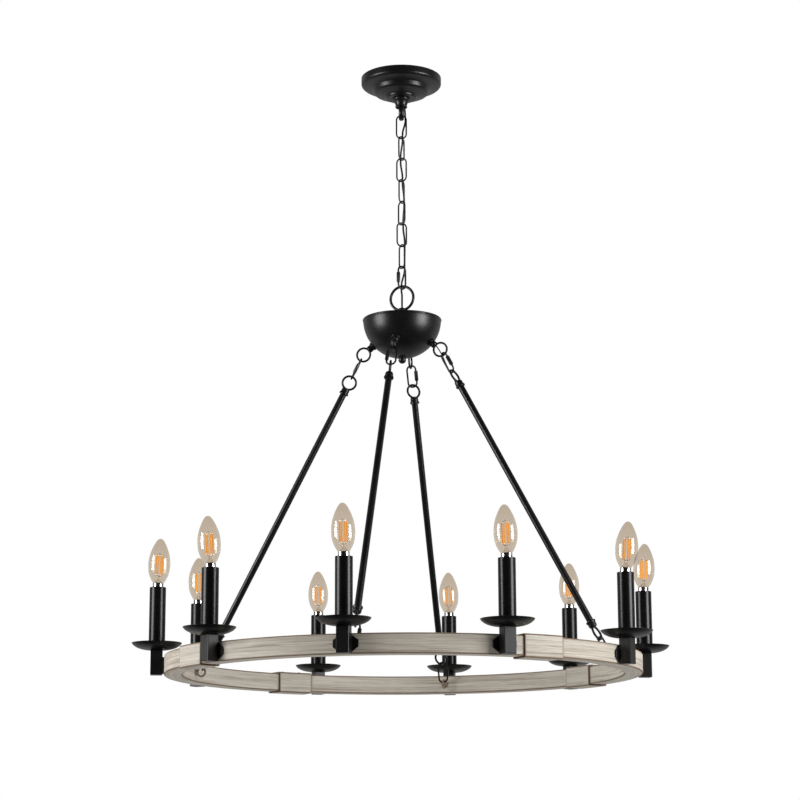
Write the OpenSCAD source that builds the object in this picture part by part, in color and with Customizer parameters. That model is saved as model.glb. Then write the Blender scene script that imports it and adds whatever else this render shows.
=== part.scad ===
// Wagon wheel chandelier: a round wheel of square tube with ten candle lamps, held by four
// leaning rods under a half-ball hub, which hangs by a chain from a ceiling canopy.
// The origin is the centre of the canopy's ceiling face, +Z is up and -Y is the front.

/* [Wheel] */
// Outer radius of the wheel
wheel_r = 381; // [360:1:400]
// Height of the wheel's square tube
ring_h = 30; // [28:1:32]
// Radial width of the wheel's square tube
ring_w = 30; // [28:1:32]
// Wall of the square tube and of its sleeves
tube_wall = 1.5; // [1.2:0.1:2]
// Arc that each joint sleeve covers, in degrees
sleeve_deg = 10.2; // [8:0.1:10.4]
// Free space between a sleeve and the tube
sleeve_gap = 1; // [0.6:0.1:1.2]

/* [Candles] */
// Width of the square post
post_w = 19; // [17:1:20]
// Width of the eight-sided plate behind the post
plate_w = 38; // [34:1:38]
// Height of the plate
plate_h = 26; // [24:1:27]
// Thickness of the plate
plate_t = 2.5; // [2:0.1:3]
// Height of the pan's underside over the wheel's middle plane
pan_lift = 24.5; // [22:0.5:27]
// Diameter of the drip pan
pan_d = 80; // [76:1:84]
// Depth of the drip pan
pan_h = 11.5; // [10:0.5:13]
// Diameter of the candle tube
candle_d = 26; // [25:0.1:27]
// Height of the candle tube
candle_l = 98.5; // [90:0.5:110]
// Largest diameter of the glass
bulb_d = 35; // [33:1:37]
// Height of the glass
bulb_l = 71.5; // [66:0.5:75]

/* [Rods] */
// Height from the wheel's middle plane to the hub's ring eyes
rod_drop = 517; // [480:1:560]
// Diameter of a rod
rod_d = 10.7; // [10.4:0.1:11]
// Outer diameter of the ring on a rod's end
rod_ring_d = 26; // [25:0.5:28]
// Wire of the ring on a rod's end
rod_ring_wire = 3.6; // [3.2:0.1:3.8]
// Outer diameter of the ferrule
ferrule_d = 13.4; // [13:0.1:14]
// Outer length of a quick link
quick_l = 40; // [38:0.5:42]
// Outer width of a quick link
quick_w = 18; // [17.5:0.5:19]
// Wire of a quick link
quick_wire = 3; // [2.8:0.1:3.2]

/* [Hub] */
// Outer radius of the half-ball bowl
hub_r = 64.5; // [62:0.5:68]
// Angle of the ring eyes from straight down, in degrees
eye_polar = 50; // [46:1:52]
// Distance of the ring eyes from the bowl's centre
eye_reach = 86; // [86:0.5:90]
// Outer diameter of the large ring over the hub
hub_ring_d = 45; // [44:1:50]
// Wire of the large ring
hub_ring_wire = 4.5; // [4.2:0.1:4.6]

/* [Chain] */
// Wire of a chain link
link_wire = 2.6; // [2.4:0.1:2.8]
// Clear length inside a chain link
link_inner = 38.1; // [36:0.1:40]
// Outer width of a chain link
link_w = 19; // [18.6:0.1:20]
// Diameter of the lamp cord
cord_d = 3.2; // [3:0.1:3.2]

/* [Canopy] */
// Diameter of the canopy
canopy_d = 135; // [128:1:150]
// Depth of the canopy
canopy_h = 36; // [34:1:38]
// Distance between the crossbar's screw holes
crossbar_pitch = 70; // [60:1:89]
// Diameter of the crossbar's screw holes
crossbar_hole_d = 4.8; // [4.2:0.1:5.2]

/* [Hidden] */
$fn = 48;

// The whole object
candles = 10;
rods_count = 4;
links = 7;
// First rod's and candle's angle, counted from the front towards +X
phase = -12.5;
// Small turns of each rod and each candle away from an even spacing
rod_shift = [0, -6, 0.5, -1.5];
candle_shift = [0, -1, 0, 0, 1.4, 0.5, -1, 2.4, 0, 1.5];
// Free space between two wires that hang in each other
hang_gap = 0.3;
// Free space round a thread or a sliding fit
fit_gap = 0.1;
cut = 0.5;

// Pipe thread that joins crossbar, loop, hub and sockets
thread_r = 4.95;
thread_bore_r = 3.4;
tapped_r = thread_r + fit_gap;

// Canopy, from the ceiling down
canopy_r = canopy_d / 2;
canopy_wall = 1.2;
band_h = 14;
step_r = 47;
step_z = 18.5;
step_h = 7.5;
boss_r = 26;
boss_z = canopy_h - 3;
stem_r = 8;
collar_top_r = 14.5;
collar_low_r = 9.3;
collar_h = 16;
loop_r = 14;
loop_bar = 7;
loop_w = 9;
loop_z = -(canopy_h + 24.3);
crossbar_l = 104;
crossbar_w = 20;
crossbar_t = 3;
nut_h = 5;
nut_d = 17;

// Chain: turn of each link about the vertical, from flat to the front
link_yaw = [0, 58, -17, 59, -50, 20, -59];
quick_yaw = 41;
hub_ring_yaw = -22;
link_reach = (link_inner + link_wire) / 2;
link_pitch = link_inner - hang_gap;
link_top_z = loop_z - loop_r + loop_bar + link_wire / 2 + hang_gap;
function link_z(i) = link_top_z - link_reach - (i - 1) * link_pitch;
// The chain's last, screwed link is a little longer and wider than those on the rods
chain_quick_l = quick_l + 1.5;
chain_quick_w = quick_w + 0.5;
chain_quick_reach = (chain_quick_l - quick_wire) / 2;
chain_quick_top_z = link_z(links) - link_reach + (link_wire + quick_wire) / 2 + hang_gap;
chain_quick_z = chain_quick_top_z - chain_quick_reach;
hub_ring_reach = (hub_ring_d - hub_ring_wire) / 2;
hub_ring_z = chain_quick_z - chain_quick_reach + (quick_wire + hub_ring_wire) / 2
    + hang_gap - hub_ring_reach;

// Screw sleeve of a quick link
sleeve_nut_d = 6.4;
sleeve_nut_l = 17;
quick_slot = 8;

// Hub
hub_rim_z = hub_ring_z - hub_ring_d / 2 - 14.7;
hub_wall = 1.5;
rim_lip = 0.8;
rim_lip_h = 1.6;
cover_t = 1.2;
neck_r = 6;
neck_top_z = hub_ring_z - hub_ring_d / 2 + 6.4;
check_ring_r = 10;
check_ring_h = 4;
finial_r = 6.45;
finial_band = 3.2;
eye_d = 26;
eye_wire = 3.4;
eye_stub_r = 5.75;
eye_flange_r = 7.25;
eye_flange_t = 2.5;
eye_shank_r = 5;
eye_shank_l = 7;

// Wheel eyes
wheel_eye_d = 17;
wheel_eye_wire = 3.2;
wheel_eye_r = wheel_r - ring_w - 10;
wheel_flange_r = 6;
wheel_flange_t = 1.5;

// Rods: each runs straight from a hub eye to a wheel eye
hub_eye_r = eye_reach * sin(eye_polar);
hub_eye_z = hub_rim_z - eye_reach * cos(eye_polar);
wheel_z = hub_eye_z - rod_drop;
rod_run = norm([wheel_eye_r - hub_eye_r, rod_drop]);
rod_lean = atan2(wheel_eye_r - hub_eye_r, rod_drop);
quick_reach = (quick_l - quick_wire) / 2;
rod_ring_reach = (rod_ring_d - rod_ring_wire) / 2;
wire_step = (quick_wire + rod_ring_wire) / 2 + hang_gap;
// Places along a rod's line, counted from the eye at that end
function link_at(eye_d, wire) = (eye_d - wire) / 2 - (wire + quick_wire) / 2 - hang_gap + quick_reach;
function ring_at(eye_d, wire) = link_at(eye_d, wire) + quick_reach - wire_step + rod_ring_reach;
top_link_s = link_at(eye_d, eye_wire);
top_ring_s = ring_at(eye_d, eye_wire);
low_link_s = link_at(wheel_eye_d, wheel_eye_wire);
low_ring_s = ring_at(wheel_eye_d, wheel_eye_wire);
ferrule_l = 8.7;
ferrule_lip_l = 2.6;
ferrule_lip_r = ferrule_d / 2 + 1.3;
ferrule_floor = 3;
ferrule_s = rod_ring_d / 2 - rod_ring_wire + 0.8;
rod_back = 6.5;
rod_bore_d = 8;
// Turn of the upper link, the rod's rings and the lower link about the rod, rod by rod,
// front, right, back, left
rod_turns = [[0, 104, 0], [46, -12, 39], [25, -17, 25], [16, 104, 12]];
nut_sides = [[-1, 1], [-1, 1], [-1, -1], [1, 1]];

// Candles
post_wall = 1.6;
candle_at = wheel_r + plate_t + post_w / 2;
post_low = -ring_h / 2;
plate_edge = 5;
plate_top = 8;
pan_t = 1.2;
wire_hole_r = 4;
candle_wall = 2;
tube_low = pan_lift + pan_t;
tube_top = tube_low + candle_l;
socket_drop = 4;
socket_r = candle_d / 2 - candle_wall - 0.3;
socket_l = 36;
socket_bore_r = 6.2;
base_r = 5.9;
base_l = 16;
tip_r = 2.5;
tip_l = 2.5;
socket_bore_l = base_l + tip_l;
skirt_r = 8.5;
skirt_up = 7;
glass_t = 0.8;
// Outline of the glass: radius as a share of half its diameter, height as a share of its length
glass_line = [[0.48, 0], [0.55, 0.025], [0.66, 0.07], [0.80, 0.14], [0.90, 0.21], [0.965, 0.29],
    [1, 0.42], [0.985, 0.49], [0.95, 0.56], [0.895, 0.63], [0.81, 0.70], [0.69, 0.78],
    [0.56, 0.85], [0.42, 0.915], [0.29, 0.96], [0.15, 0.99], [0, 1]];

// Lamp cord: its place beside the chain's axis where each two wires cross, from the top
cord_at = [[6.8, 3.8], [1.95, -3.55], [-1.45, 3.9], [1.5, -3.9], [4.1, 0.3], [2.4, 4.5],
    [4.9, -1.75], [4.5, -0.7], [-0.85, 4.9]];
cord_sides = 8;
// Half the height round a crossing where the cord runs straight
cord_hold = 4.5;
// Slanted way of the cord out of the canopy loop: its tilt, where it starts, points down it
cord_slant = 22;
slant_z = -canopy_h - 2;
slant_drops = [1, 8, 13, 17];
cord_steps = 5;
cross_z = concat([loop_z - 8], [for (i = [1 : links]) link_z(i) - link_reach + 1.5],
    [chain_quick_z - chain_quick_reach + 2]);

// Lamp lead beside the right-hand rod
lead_d = 2;
lead_hole_r = 1.4;
lead_side = -3.1;
lead_rod = 1;
lead_wall_x = -12;

// ---- Shared shapes ----

// Round ring of wire, flat to the front
module wire_ring(d, wire) {
    rotate([90, 0, 0]) rotate_extrude() translate([(d - wire) / 2, 0]) circle(d = wire);
}

// Long oval loop of wire, flat to the front
module wire_oval(l, w, wire) {
    bend_r = (w - wire) / 2;
    leg = l - w;
    for (end = [0, 180])
        rotate([0, end, 0]) translate([0, 0, leg / 2])
            rotate([90, 0, 0]) rotate_extrude(angle = 180) translate([bend_r, 0]) circle(d = wire);
    for (side = [-1, 1])
        translate([side * bend_r, 0, -leg / 2]) cylinder(d = wire, h = leg);
}

// Quick link, open in the leg on the nut's side
module quick_oval(l, w, side) {
    difference() {
        wire_oval(l, w, quick_wire);
        translate([side * (w - quick_wire) / 2, 0, 0])
            cube([quick_wire * 2, quick_wire * 2, quick_slot], center = true);
    }
}

module quick_sleeve(w, side) {
    translate([side * (w - quick_wire) / 2, 0, -sleeve_nut_l / 2]) difference() {
        union() {
            cylinder(d = sleeve_nut_d, h = sleeve_nut_l);
        }
        translate([0, 0, -cut]) cylinder(d = quick_wire + 2 * fit_gap, h = sleeve_nut_l + 2 * cut);
    }
}

module hex_nut() {
    difference() {
        cylinder(d = nut_d, h = nut_h, $fn = 6);
        translate([0, 0, -cut]) cylinder(r = tapped_r, h = nut_h + 2 * cut);
    }
}

// Tube along a row of points
function unit(v) = v / norm(v);
function heading(p, i) = unit(p[min(i + 1, len(p) - 1)] - p[max(i - 1, 0)]);
function hoop(c, t, r, n) = let (a = unit(cross(t, [1, 0, 0])), b = cross(t, a))
    [for (j = [0 : n - 1]) c + r * (cos(360 * j / n) * a + sin(360 * j / n) * b)];
module tube_along(path, d, n) {
    last = len(path) - 1;
    points = [for (i = [0 : last]) each hoop(path[i], heading(path, i), d / 2, n)];
    walls = [for (i = [0 : last - 1], j = [0 : n - 1])
        [i * n + j, i * n + (j + 1) % n, (i + 1) * n + (j + 1) % n, (i + 1) * n + j]];
    ends = [[for (j = [n - 1 : -1 : 0]) j], [for (j = [0 : n - 1]) last * n + j]];
    polyhedron(points, concat(walls, ends));
}
// Smooth curve through a row of points
function bend(p0, p1, p2, p3, t) = 0.5 * (2 * p1 + (p2 - p0) * t
    + (2 * p0 - 5 * p1 + 4 * p2 - p3) * t * t + (3 * p1 - p0 - 3 * p2 + p3) * t * t * t);
function smooth(p, steps) = concat([for (i = [0 : len(p) - 2], s = [0 : steps - 1])
    bend(p[max(i - 1, 0)], p[i], p[i + 1], p[min(i + 2, len(p) - 1)], s / steps)],
    [p[len(p) - 1]]);

// ---- Places ----

module at_rod(k) {
    rotate([0, 0, phase + k * 360 / rods_count + rod_shift[k]]) children();
}

// Along a rod, from the hub eye down
module from_hub_eye(k) {
    at_rod(k) translate([0, -hub_eye_r, hub_eye_z]) rotate([-rod_lean, 0, 0]) children();
}

// Along a rod, from the wheel eye up
module from_wheel_eye(k) {
    from_hub_eye(k) translate([0, 0, -rod_run]) mirror([0, 0, 1]) children();
}

module at_hub_eye(k) {
    at_rod(k) translate([0, 0, hub_rim_z]) rotate([-eye_polar, 0, 0]) children();
}

function candle_angle(i) = phase + (i - 1) * 360 / candles + candle_shift[i - 1];

module at_candle(i) {
    rotate([0, 0, candle_angle(i)]) translate([0, -candle_at, wheel_z]) children();
}

// ---- Ceiling ----

module ceiling_crossbar() {
    color("silver") difference() {
        translate([-crossbar_l / 2, -crossbar_w / 2, -crossbar_t])
            cube([crossbar_l, crossbar_w, crossbar_t]);
        for (x = [-crossbar_pitch / 2, crossbar_pitch / 2])
            translate([x, 0, -crossbar_t - cut])
                cylinder(d = crossbar_hole_d, h = crossbar_t + 2 * cut);
        translate([0, 0, -crossbar_t - cut]) cylinder(r = tapped_r, h = crossbar_t + 2 * cut);
    }
}

module canopy() {
    w = canopy_wall;
    hole_r = stem_r + 0.2;
    color("dimgray") rotate_extrude() polygon([
        [canopy_r, 0], [canopy_r, -band_h + 1], [canopy_r - 1, -band_h], [step_r, -step_z],
        [step_r, -step_z - step_h], [step_r - 1, -step_z - step_h - 1],
        [boss_r, -boss_z + 0.5], [boss_r, -canopy_h + 0.8], [boss_r - 1, -canopy_h],
        [hole_r, -canopy_h], [hole_r, -canopy_h + w], [boss_r - 1 - w, -canopy_h + w],
        [boss_r - w, -boss_z + 0.5 + w], [step_r - 1 - w, -step_z - step_h - 1 + w],
        [step_r - w, -step_z + w], [canopy_r - 1 - w, -band_h + w], [canopy_r - w, -band_h + 1 + w],
        [canopy_r - w, 0]]);
}

module canopy_nipple() {
    color("goldenrod") translate([0, 0, -canopy_h]) difference() {
        cylinder(r = thread_r, h = canopy_h);
        translate([0, 0, -cut]) cylinder(r = thread_bore_r, h = canopy_h + 2 * cut);
    }
}

module canopy_nut() {
    color("silver") translate([0, 0, -crossbar_t - nut_h]) hex_nut();
}

// Trumpet-shaped collar with a small ring at its lower end
module canopy_collar() {
    color("dimgray") translate([0, 0, -canopy_h]) rotate_extrude() polygon([
        [stem_r + fit_gap, 0], [collar_top_r, 0], [collar_top_r, -2.2], [collar_top_r - 1, -3.6],
        [collar_low_r + 2.2, -6.8], [collar_low_r + 0.6, -10], [collar_low_r, -12.8],
        [collar_low_r + 0.8, -13.3], [collar_low_r + 0.8, -collar_h + 0.8],
        [collar_low_r, -collar_h], [stem_r + fit_gap, -collar_h]]);
}

// Cast loop, seen edge on from the front, with shoulders under the collar and a slanted way
// out for the cord
module canopy_loop() {
    stem_z = -canopy_h + 12;
    stem_h = stem_z - (loop_z + loop_r) + 3;
    shoulder_z = -canopy_h - collar_h - 0.3;
    color("dimgray") difference() {
        union() {
            translate([0, 0, loop_z]) rotate([0, 90, 0]) rotate_extrude()
                translate([loop_r - loop_bar / 2, 0]) polygon([for (turn = [0 : 18 : 342])
                    [loop_bar / 2 * cos(turn), loop_w / 2 * sin(turn)]]);
            translate([0, 0, stem_z - stem_h]) cylinder(r = stem_r, h = stem_h);
        }
        translate([0, 0, shoulder_z]) difference() {
            cylinder(r = 2 * loop_r, h = collar_h);
            translate([0, 0, -cut]) cylinder(r = stem_r, h = collar_h + 2 * cut);
        }
        translate([0, 0, -canopy_h - 0.2]) cylinder(r = tapped_r, h = 15);
        translate([0, 0, -canopy_h - 4]) cylinder(r = cord_d / 2 + 0.7, h = 10);
        translate([0, 0, slant_z]) rotate([0, 0, atan2(cord_at[0][1], cord_at[0][0])])
            rotate([0, 180 - cord_slant, 0]) cylinder(r = cord_d / 2 + 0.7, h = 20);
    }
}

// ---- Chain ----

module chain_link(i) {
    color("dimgray") translate([0, 0, link_z(i)]) rotate([0, 0, link_yaw[i - 1]])
        wire_oval(link_inner + 2 * link_wire, link_w, link_wire);
}

module chain_quick_link() {
    color("dimgray") translate([0, 0, chain_quick_z]) rotate([0, 0, quick_yaw])
        quick_oval(chain_quick_l, chain_quick_w, -1);
}

module chain_quick_nut() {
    color("gray") translate([0, 0, chain_quick_z]) rotate([0, 0, quick_yaw])
        quick_sleeve(chain_quick_w, -1);
}

// ---- Hub ----

// Large ring with a hollow neck that stands on the cover
module hub_ring() {
    neck_low = hub_rim_z + cover_t;
    color("dimgray") difference() {
        union() {
            translate([0, 0, hub_ring_z]) rotate([0, 0, hub_ring_yaw])
                wire_ring(hub_ring_d, hub_ring_wire);
            translate([0, 0, neck_low]) cylinder(r = neck_r, h = neck_top_z - neck_low);
        }
        translate([0, 0, neck_low - cut]) cylinder(r = tapped_r, h = 10 + cut);
        translate([0, 0, neck_low])
            cylinder(r = cord_d / 2 + 0.7, h = neck_top_z - neck_low + cut);
    }
}

module hub_check_ring() {
    color("dimgray") translate([0, 0, hub_rim_z + cover_t]) difference() {
        cylinder(r = check_ring_r, h = check_ring_h);
        translate([0, 0, -cut]) cylinder(r = neck_r + fit_gap, h = check_ring_h + 2 * cut);
    }
}

module hub_cover() {
    color("dimgray") translate([0, 0, hub_rim_z]) difference() {
        cylinder(r = hub_r - 0.3, h = cover_t);
        translate([0, 0, -cut]) cylinder(r = tapped_r, h = cover_t + 2 * cut);
    }
}

module hub_bowl() {
    color("dimgray") difference() {
        union() {
            intersection() {
                translate([0, 0, hub_rim_z]) difference() {
                    sphere(r = hub_r);
                    sphere(r = hub_r - hub_wall);
                }
                translate([0, 0, hub_rim_z - hub_r]) cylinder(r = 2 * hub_r, h = hub_r);
            }
            translate([0, 0, hub_rim_z - rim_lip_h]) difference() {
                cylinder(r = hub_r + rim_lip, h = rim_lip_h);
                translate([0, 0, -cut]) cylinder(r = hub_r - 1, h = rim_lip_h + 2 * cut);
            }
        }
        translate([0, 0, hub_rim_z - hub_r - cut]) cylinder(r = tapped_r, h = 5);
        for (k = [0 : rods_count - 1])
            at_hub_eye(k) translate([0, 0, -hub_r - 2]) cylinder(r = eye_shank_r + fit_gap, h = 8);
    }
}

// Threaded stem through the hub, with the two nuts that are locked on it
module hub_stem() {
    low = -hub_r - 5.5;
    high = cover_t + 9.5;
    color("goldenrod") translate([0, 0, hub_rim_z]) difference() {
        union() {
            translate([0, 0, low]) cylinder(r = thread_r, h = high - low);
            translate([0, 0, -nut_h]) cylinder(d = nut_d, h = nut_h, $fn = 6);
            translate([0, 0, -hub_r + hub_wall + 1]) cylinder(d = nut_d, h = nut_h, $fn = 6);
        }
        translate([0, 0, low - cut]) cylinder(r = thread_bore_r, h = high - low + 2 * cut);
    }
}

module hub_finial() {
    color("dimgray") translate([0, 0, hub_rim_z - hub_r]) difference() {
        union() {
            translate([0, 0, -finial_band]) cylinder(r = finial_r, h = finial_band);
            translate([0, 0, -finial_band]) sphere(r = finial_r);
        }
        translate([0, 0, -6]) cylinder(r = tapped_r, h = 20);
        cylinder(r = 2 * finial_r, h = 20);
    }
}

// Flanged, hollow stub with a ring, screwed into the bowl's flank
module hub_eye() {
    difference() {
        union() {
            translate([0, 0, -hub_r]) cylinder(r = eye_shank_r, h = eye_shank_l);
            translate([0, 0, -hub_r - eye_flange_t]) cylinder(r = eye_flange_r, h = eye_flange_t);
            translate([0, 0, -eye_reach + eye_d / 2 - 2.5])
                cylinder(r = eye_stub_r, h = eye_reach - hub_r - eye_d / 2 + 2.5);
            translate([0, 0, -eye_reach]) rotate([0, 0, 90]) wire_ring(eye_d, eye_wire);
        }
        translate([lead_side, 0, -eye_reach])
            cylinder(r = lead_hole_r, h = eye_reach - hub_r + eye_shank_l + cut);
    }
}

module hub_eyes() {
    color("dimgray") for (k = [0 : rods_count - 1]) at_hub_eye(k) hub_eye();
}

// ---- Rods ----

module rods() {
    top = top_ring_s + ferrule_s + rod_back;
    low = low_ring_s + ferrule_s + rod_back;
    color("dimgray") for (k = [0 : rods_count - 1])
        from_wheel_eye(k) mirror([0, 0, 1]) translate([0, 0, low]) difference() {
            cylinder(d = rod_d, h = rod_run - top - low);
            translate([0, 0, -cut]) cylinder(d = rod_bore_d, h = rod_run - top - low + 2 * cut);
        }
}

// Ring with a bell-shaped ferrule that takes the rod's end
module rod_end(turn, wired) {
    translate([0, 0, -ferrule_s]) difference() {
        union() {
            translate([0, 0, ferrule_s]) rotate([0, 0, turn]) wire_ring(rod_ring_d, rod_ring_wire);
            translate([0, 0, -ferrule_l]) cylinder(d = ferrule_d, h = ferrule_l);
            translate([0, 0, -ferrule_l - ferrule_lip_l])
                cylinder(r = ferrule_lip_r, h = ferrule_lip_l);
        }
        translate([0, 0, -ferrule_floor - 20]) cylinder(d = rod_d + 2 * fit_gap, h = 20);
        if (wired) rotate([0, 0, turn]) translate([0, 4.3, -ferrule_floor - cut])
            cylinder(r = lead_hole_r, h = ferrule_floor + 2 * cut);
    }
}

module rod_ends() {
    color("dimgray") for (k = [0 : rods_count - 1]) {
        from_hub_eye(k) translate([0, 0, -top_ring_s]) rod_end(rod_turns[k][1], k == lead_rod);
        from_wheel_eye(k) translate([0, 0, -low_ring_s]) rod_end(rod_turns[k][1], k == lead_rod);
    }
}

module rod_quick_links() {
    color("dimgray") for (k = [0 : rods_count - 1]) {
        from_hub_eye(k) translate([0, 0, -top_link_s]) rotate([0, 0, rod_turns[k][0]])
            quick_oval(quick_l, quick_w, nut_sides[k][0]);
        from_wheel_eye(k) translate([0, 0, -low_link_s]) rotate([0, 0, rod_turns[k][2]])
            quick_oval(quick_l, quick_w, nut_sides[k][1]);
    }
}

module rod_quick_nuts() {
    color("gray") for (k = [0 : rods_count - 1]) {
        from_hub_eye(k) translate([0, 0, -top_link_s]) rotate([0, 0, rod_turns[k][0]])
            quick_sleeve(quick_w, nut_sides[k][0]);
        from_wheel_eye(k) translate([0, 0, -low_link_s]) rotate([0, 0, rod_turns[k][2]])
            quick_sleeve(quick_w, nut_sides[k][1]);
    }
}

// ---- Wheel ----

// Bent square tube round the wheel from one angle to another, grown by a margin
module bent_bar(from, to, grow) {
    rotate([0, 0, from - 90]) rotate_extrude(angle = to - from)
        translate([wheel_r - ring_w - grow, -ring_h / 2 - grow])
            square([ring_w + 2 * grow, ring_h + 2 * grow]);
}

module bent_tube(from, to, wall, grow) {
    translate([0, 0, wheel_z]) difference() {
        bent_bar(from, to, grow);
        bent_bar(from - 1, to + 1, grow - wall);
    }
}

// Joints between the four arcs lie halfway between the rods
function joint_angle(k) = phase + (k - 0.5) * 360 / rods_count;
// The side arcs carry the front sleeves and the back arc carries the rear ones
joint_side = [-1, 1, 1, -1];
screw_step = 2.6;
screw_head_r = 3.6;
screw_head_h = 2;
screw_r = 1.9;

module at_sleeve_screws(k) {
    for (side = [-1, 1])
        rotate([0, 0, joint_angle(k) + side * screw_step])
            translate([0, -(wheel_r - ring_w / 2), wheel_z + ring_h / 2]) children();
}

module wheel_arc(k) {
    from = joint_angle(k);
    to = joint_angle(k + 1);
    slit = 0.02;
    difference() {
        bent_tube(from + slit, to - slit, tube_wall, 0);
        for (i = [1 : candles], turn = [0, 360])
            if (candle_angle(i) - turn > from && candle_angle(i) - turn < to)
                rotate([0, 0, candle_angle(i)]) translate([0, -wheel_r + 5, wheel_z])
                    rotate([90, 0, 0]) cylinder(r = wire_hole_r, h = 10);
        for (j = [k, k + 1])
            at_sleeve_screws(j) translate([0, 0, -tube_wall - cut])
                cylinder(r = screw_r + fit_gap, h = 5);
        if (k == lead_rod)
            at_rod(k) translate([lead_wall_x, -wheel_r + ring_w + 10, wheel_z])
                rotate([90, 0, 0]) cylinder(r = lead_hole_r, h = 15);
    }
}

module wheel_arc_front() {
    color("tan") wheel_arc(0);
}

module wheel_arc_right() {
    color("tan") wheel_arc(1);
}

module wheel_arc_back() {
    color("tan") wheel_arc(2);
}

module wheel_arc_left() {
    color("tan") wheel_arc(3);
}

// Square sleeves, closed down on the tube at the end that is fixed
module wheel_sleeves() {
    crimp = 0.5;
    grow = sleeve_gap + tube_wall;
    color("burlywood") for (k = [0 : rods_count - 1]) {
        mid = joint_angle(k);
        fixed = mid + joint_side[k] * (sleeve_deg / 2 - crimp / 2);
        difference() {
            union() {
                bent_tube(mid - sleeve_deg / 2, mid + sleeve_deg / 2, tube_wall, grow);
                bent_tube(fixed - crimp / 2, fixed + crimp / 2, grow - fit_gap, grow);
            }
            at_sleeve_screws(k) cylinder(r = screw_r + fit_gap, h = 10);
        }
    }
}

module sleeve_screws() {
    seat = sleeve_gap + tube_wall;
    color("black") for (k = [0 : rods_count - 1])
        at_sleeve_screws(k) {
            translate([0, 0, seat]) cylinder(r = screw_head_r, h = screw_head_h);
            translate([0, 0, -6]) cylinder(r = screw_r, h = seat + 6);
        }
}

module wheel_eyes() {
    wall_r = sqrt(pow(wheel_r - ring_w, 2) - pow(wheel_flange_r, 2)) - 0.05;
    color("rosybrown") for (k = [0 : rods_count - 1])
        at_rod(k) {
            translate([0, -wheel_eye_r, wheel_z]) rotate([0, 0, 90])
                wire_ring(wheel_eye_d, wheel_eye_wire);
            translate([0, -wall_r, wheel_z]) rotate([-90, 0, 0]) {
                cylinder(r = wheel_flange_r, h = wheel_flange_t);
                cylinder(r = 3.5, h = wall_r - wheel_eye_r - wheel_eye_d / 2 + wheel_eye_wire);
            }
        }
}

// ---- Candles ----

module candle_plates() {
    low = plate_w / 2;
    high = plate_h / 2;
    color("dimgray") for (i = [1 : candles])
        at_candle(i) translate([0, post_w / 2 + plate_t, 0]) rotate([90, 0, 0]) difference() {
            linear_extrude(plate_t) polygon([
                [low, -plate_edge], [low, plate_edge], [plate_top, high], [-plate_top, high],
                [-low, plate_edge], [-low, -plate_edge], [-plate_top, -high], [plate_top, -high]]);
            translate([0, 0, -cut]) cylinder(r = wire_hole_r, h = plate_t + 2 * cut);
        }
}

module candle_posts() {
    h = pan_lift - post_low;
    inner = post_w - 2 * post_wall;
    color("dimgray") for (i = [1 : candles])
        at_candle(i) difference() {
            translate([-post_w / 2, -post_w / 2, post_low]) cube([post_w, post_w, h]);
            translate([-inner / 2, -inner / 2, post_low + post_wall])
                cube([inner, inner, h - 2 * post_wall]);
            translate([0, 0, pan_lift - 5]) cylinder(r = tapped_r, h = 10);
            translate([0, post_w, 0]) rotate([90, 0, 0]) cylinder(r = wire_hole_r, h = post_w);
        }
}

// Shallow round drip pan
module candle_pans() {
    r = pan_d / 2;
    t = pan_t;
    color("black") for (i = [1 : candles])
        at_candle(i) translate([0, 0, pan_lift]) rotate_extrude() polygon([
            [tapped_r, 0], [0.38 * r, 0], [0.6 * r, 0.12 * pan_h], [0.78 * r, 0.33 * pan_h],
            [0.9 * r, 0.58 * pan_h], [0.97 * r, 0.82 * pan_h], [r, pan_h], [r - t, pan_h],
            [0.97 * r - t, 0.82 * pan_h + 0.2], [0.9 * r - t, 0.58 * pan_h + 0.5],
            [0.78 * r - t, 0.33 * pan_h + 0.8], [0.6 * r - t, 0.12 * pan_h + 1],
            [0.38 * r - 1, t], [tapped_r, t]]);
}

module candle_tubes() {
    color("black") for (i = [1 : candles])
        at_candle(i) translate([0, 0, tube_low]) difference() {
            cylinder(d = candle_d, h = candle_l);
            translate([0, 0, -cut])
                cylinder(d = candle_d - 2 * candle_wall, h = candle_l + 2 * cut);
        }
}

// Lamp socket with the threaded tube that carries it up from the post
module lamp_sockets() {
    high = tube_top - socket_drop;
    low = high - socket_l;
    foot = pan_lift - 8;
    color("ivory") for (i = [1 : candles])
        at_candle(i) difference() {
            union() {
                translate([0, 0, low]) cylinder(r = socket_r, h = socket_l);
                translate([0, 0, foot]) cylinder(r = thread_r, h = low - foot + 1);
                translate([0, 0, tube_low]) cylinder(r = 8.5, h = 3);
                translate([0, 0, pan_lift - post_wall - 4]) cylinder(r = 7.5, h = 4);
            }
            translate([0, 0, high - socket_bore_l])
                cylinder(r = socket_bore_r, h = socket_bore_l + cut);
            translate([0, 0, foot - cut]) cylinder(r = 3, h = high - socket_bore_l - foot - 3);
        }
}

module bulb_glass(i) {
    r = bulb_d / 2;
    in_r = r - glass_t;
    in_l = bulb_l - 2 * glass_t;
    color([0.9, 0.75, 0.5, 0.4]) at_candle(i) translate([0, 0, tube_top + skirt_up])
        difference() {
            rotate_extrude() polygon(concat([[0, 0]],
                [for (p = glass_line) [p[0] * r, p[1] * bulb_l]]));
            translate([0, 0, glass_t]) rotate_extrude() polygon(concat([[0, 0]],
                [for (p = glass_line) [p[0] * in_r, p[1] * in_l]]));
        }
}

module bulb_base(i) {
    skirt_z = tube_top - socket_drop + 0.3;
    color("silver") at_candle(i) {
        translate([0, 0, skirt_z]) cylinder(r = skirt_r, h = tube_top + skirt_up - skirt_z);
        translate([0, 0, skirt_z - base_l]) cylinder(r = base_r, h = base_l + 0.5);
        translate([0, 0, skirt_z - base_l - tip_l]) cylinder(r = tip_r, h = tip_l + 0.5);
    }
}

// ---- Cord and lead ----

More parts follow.
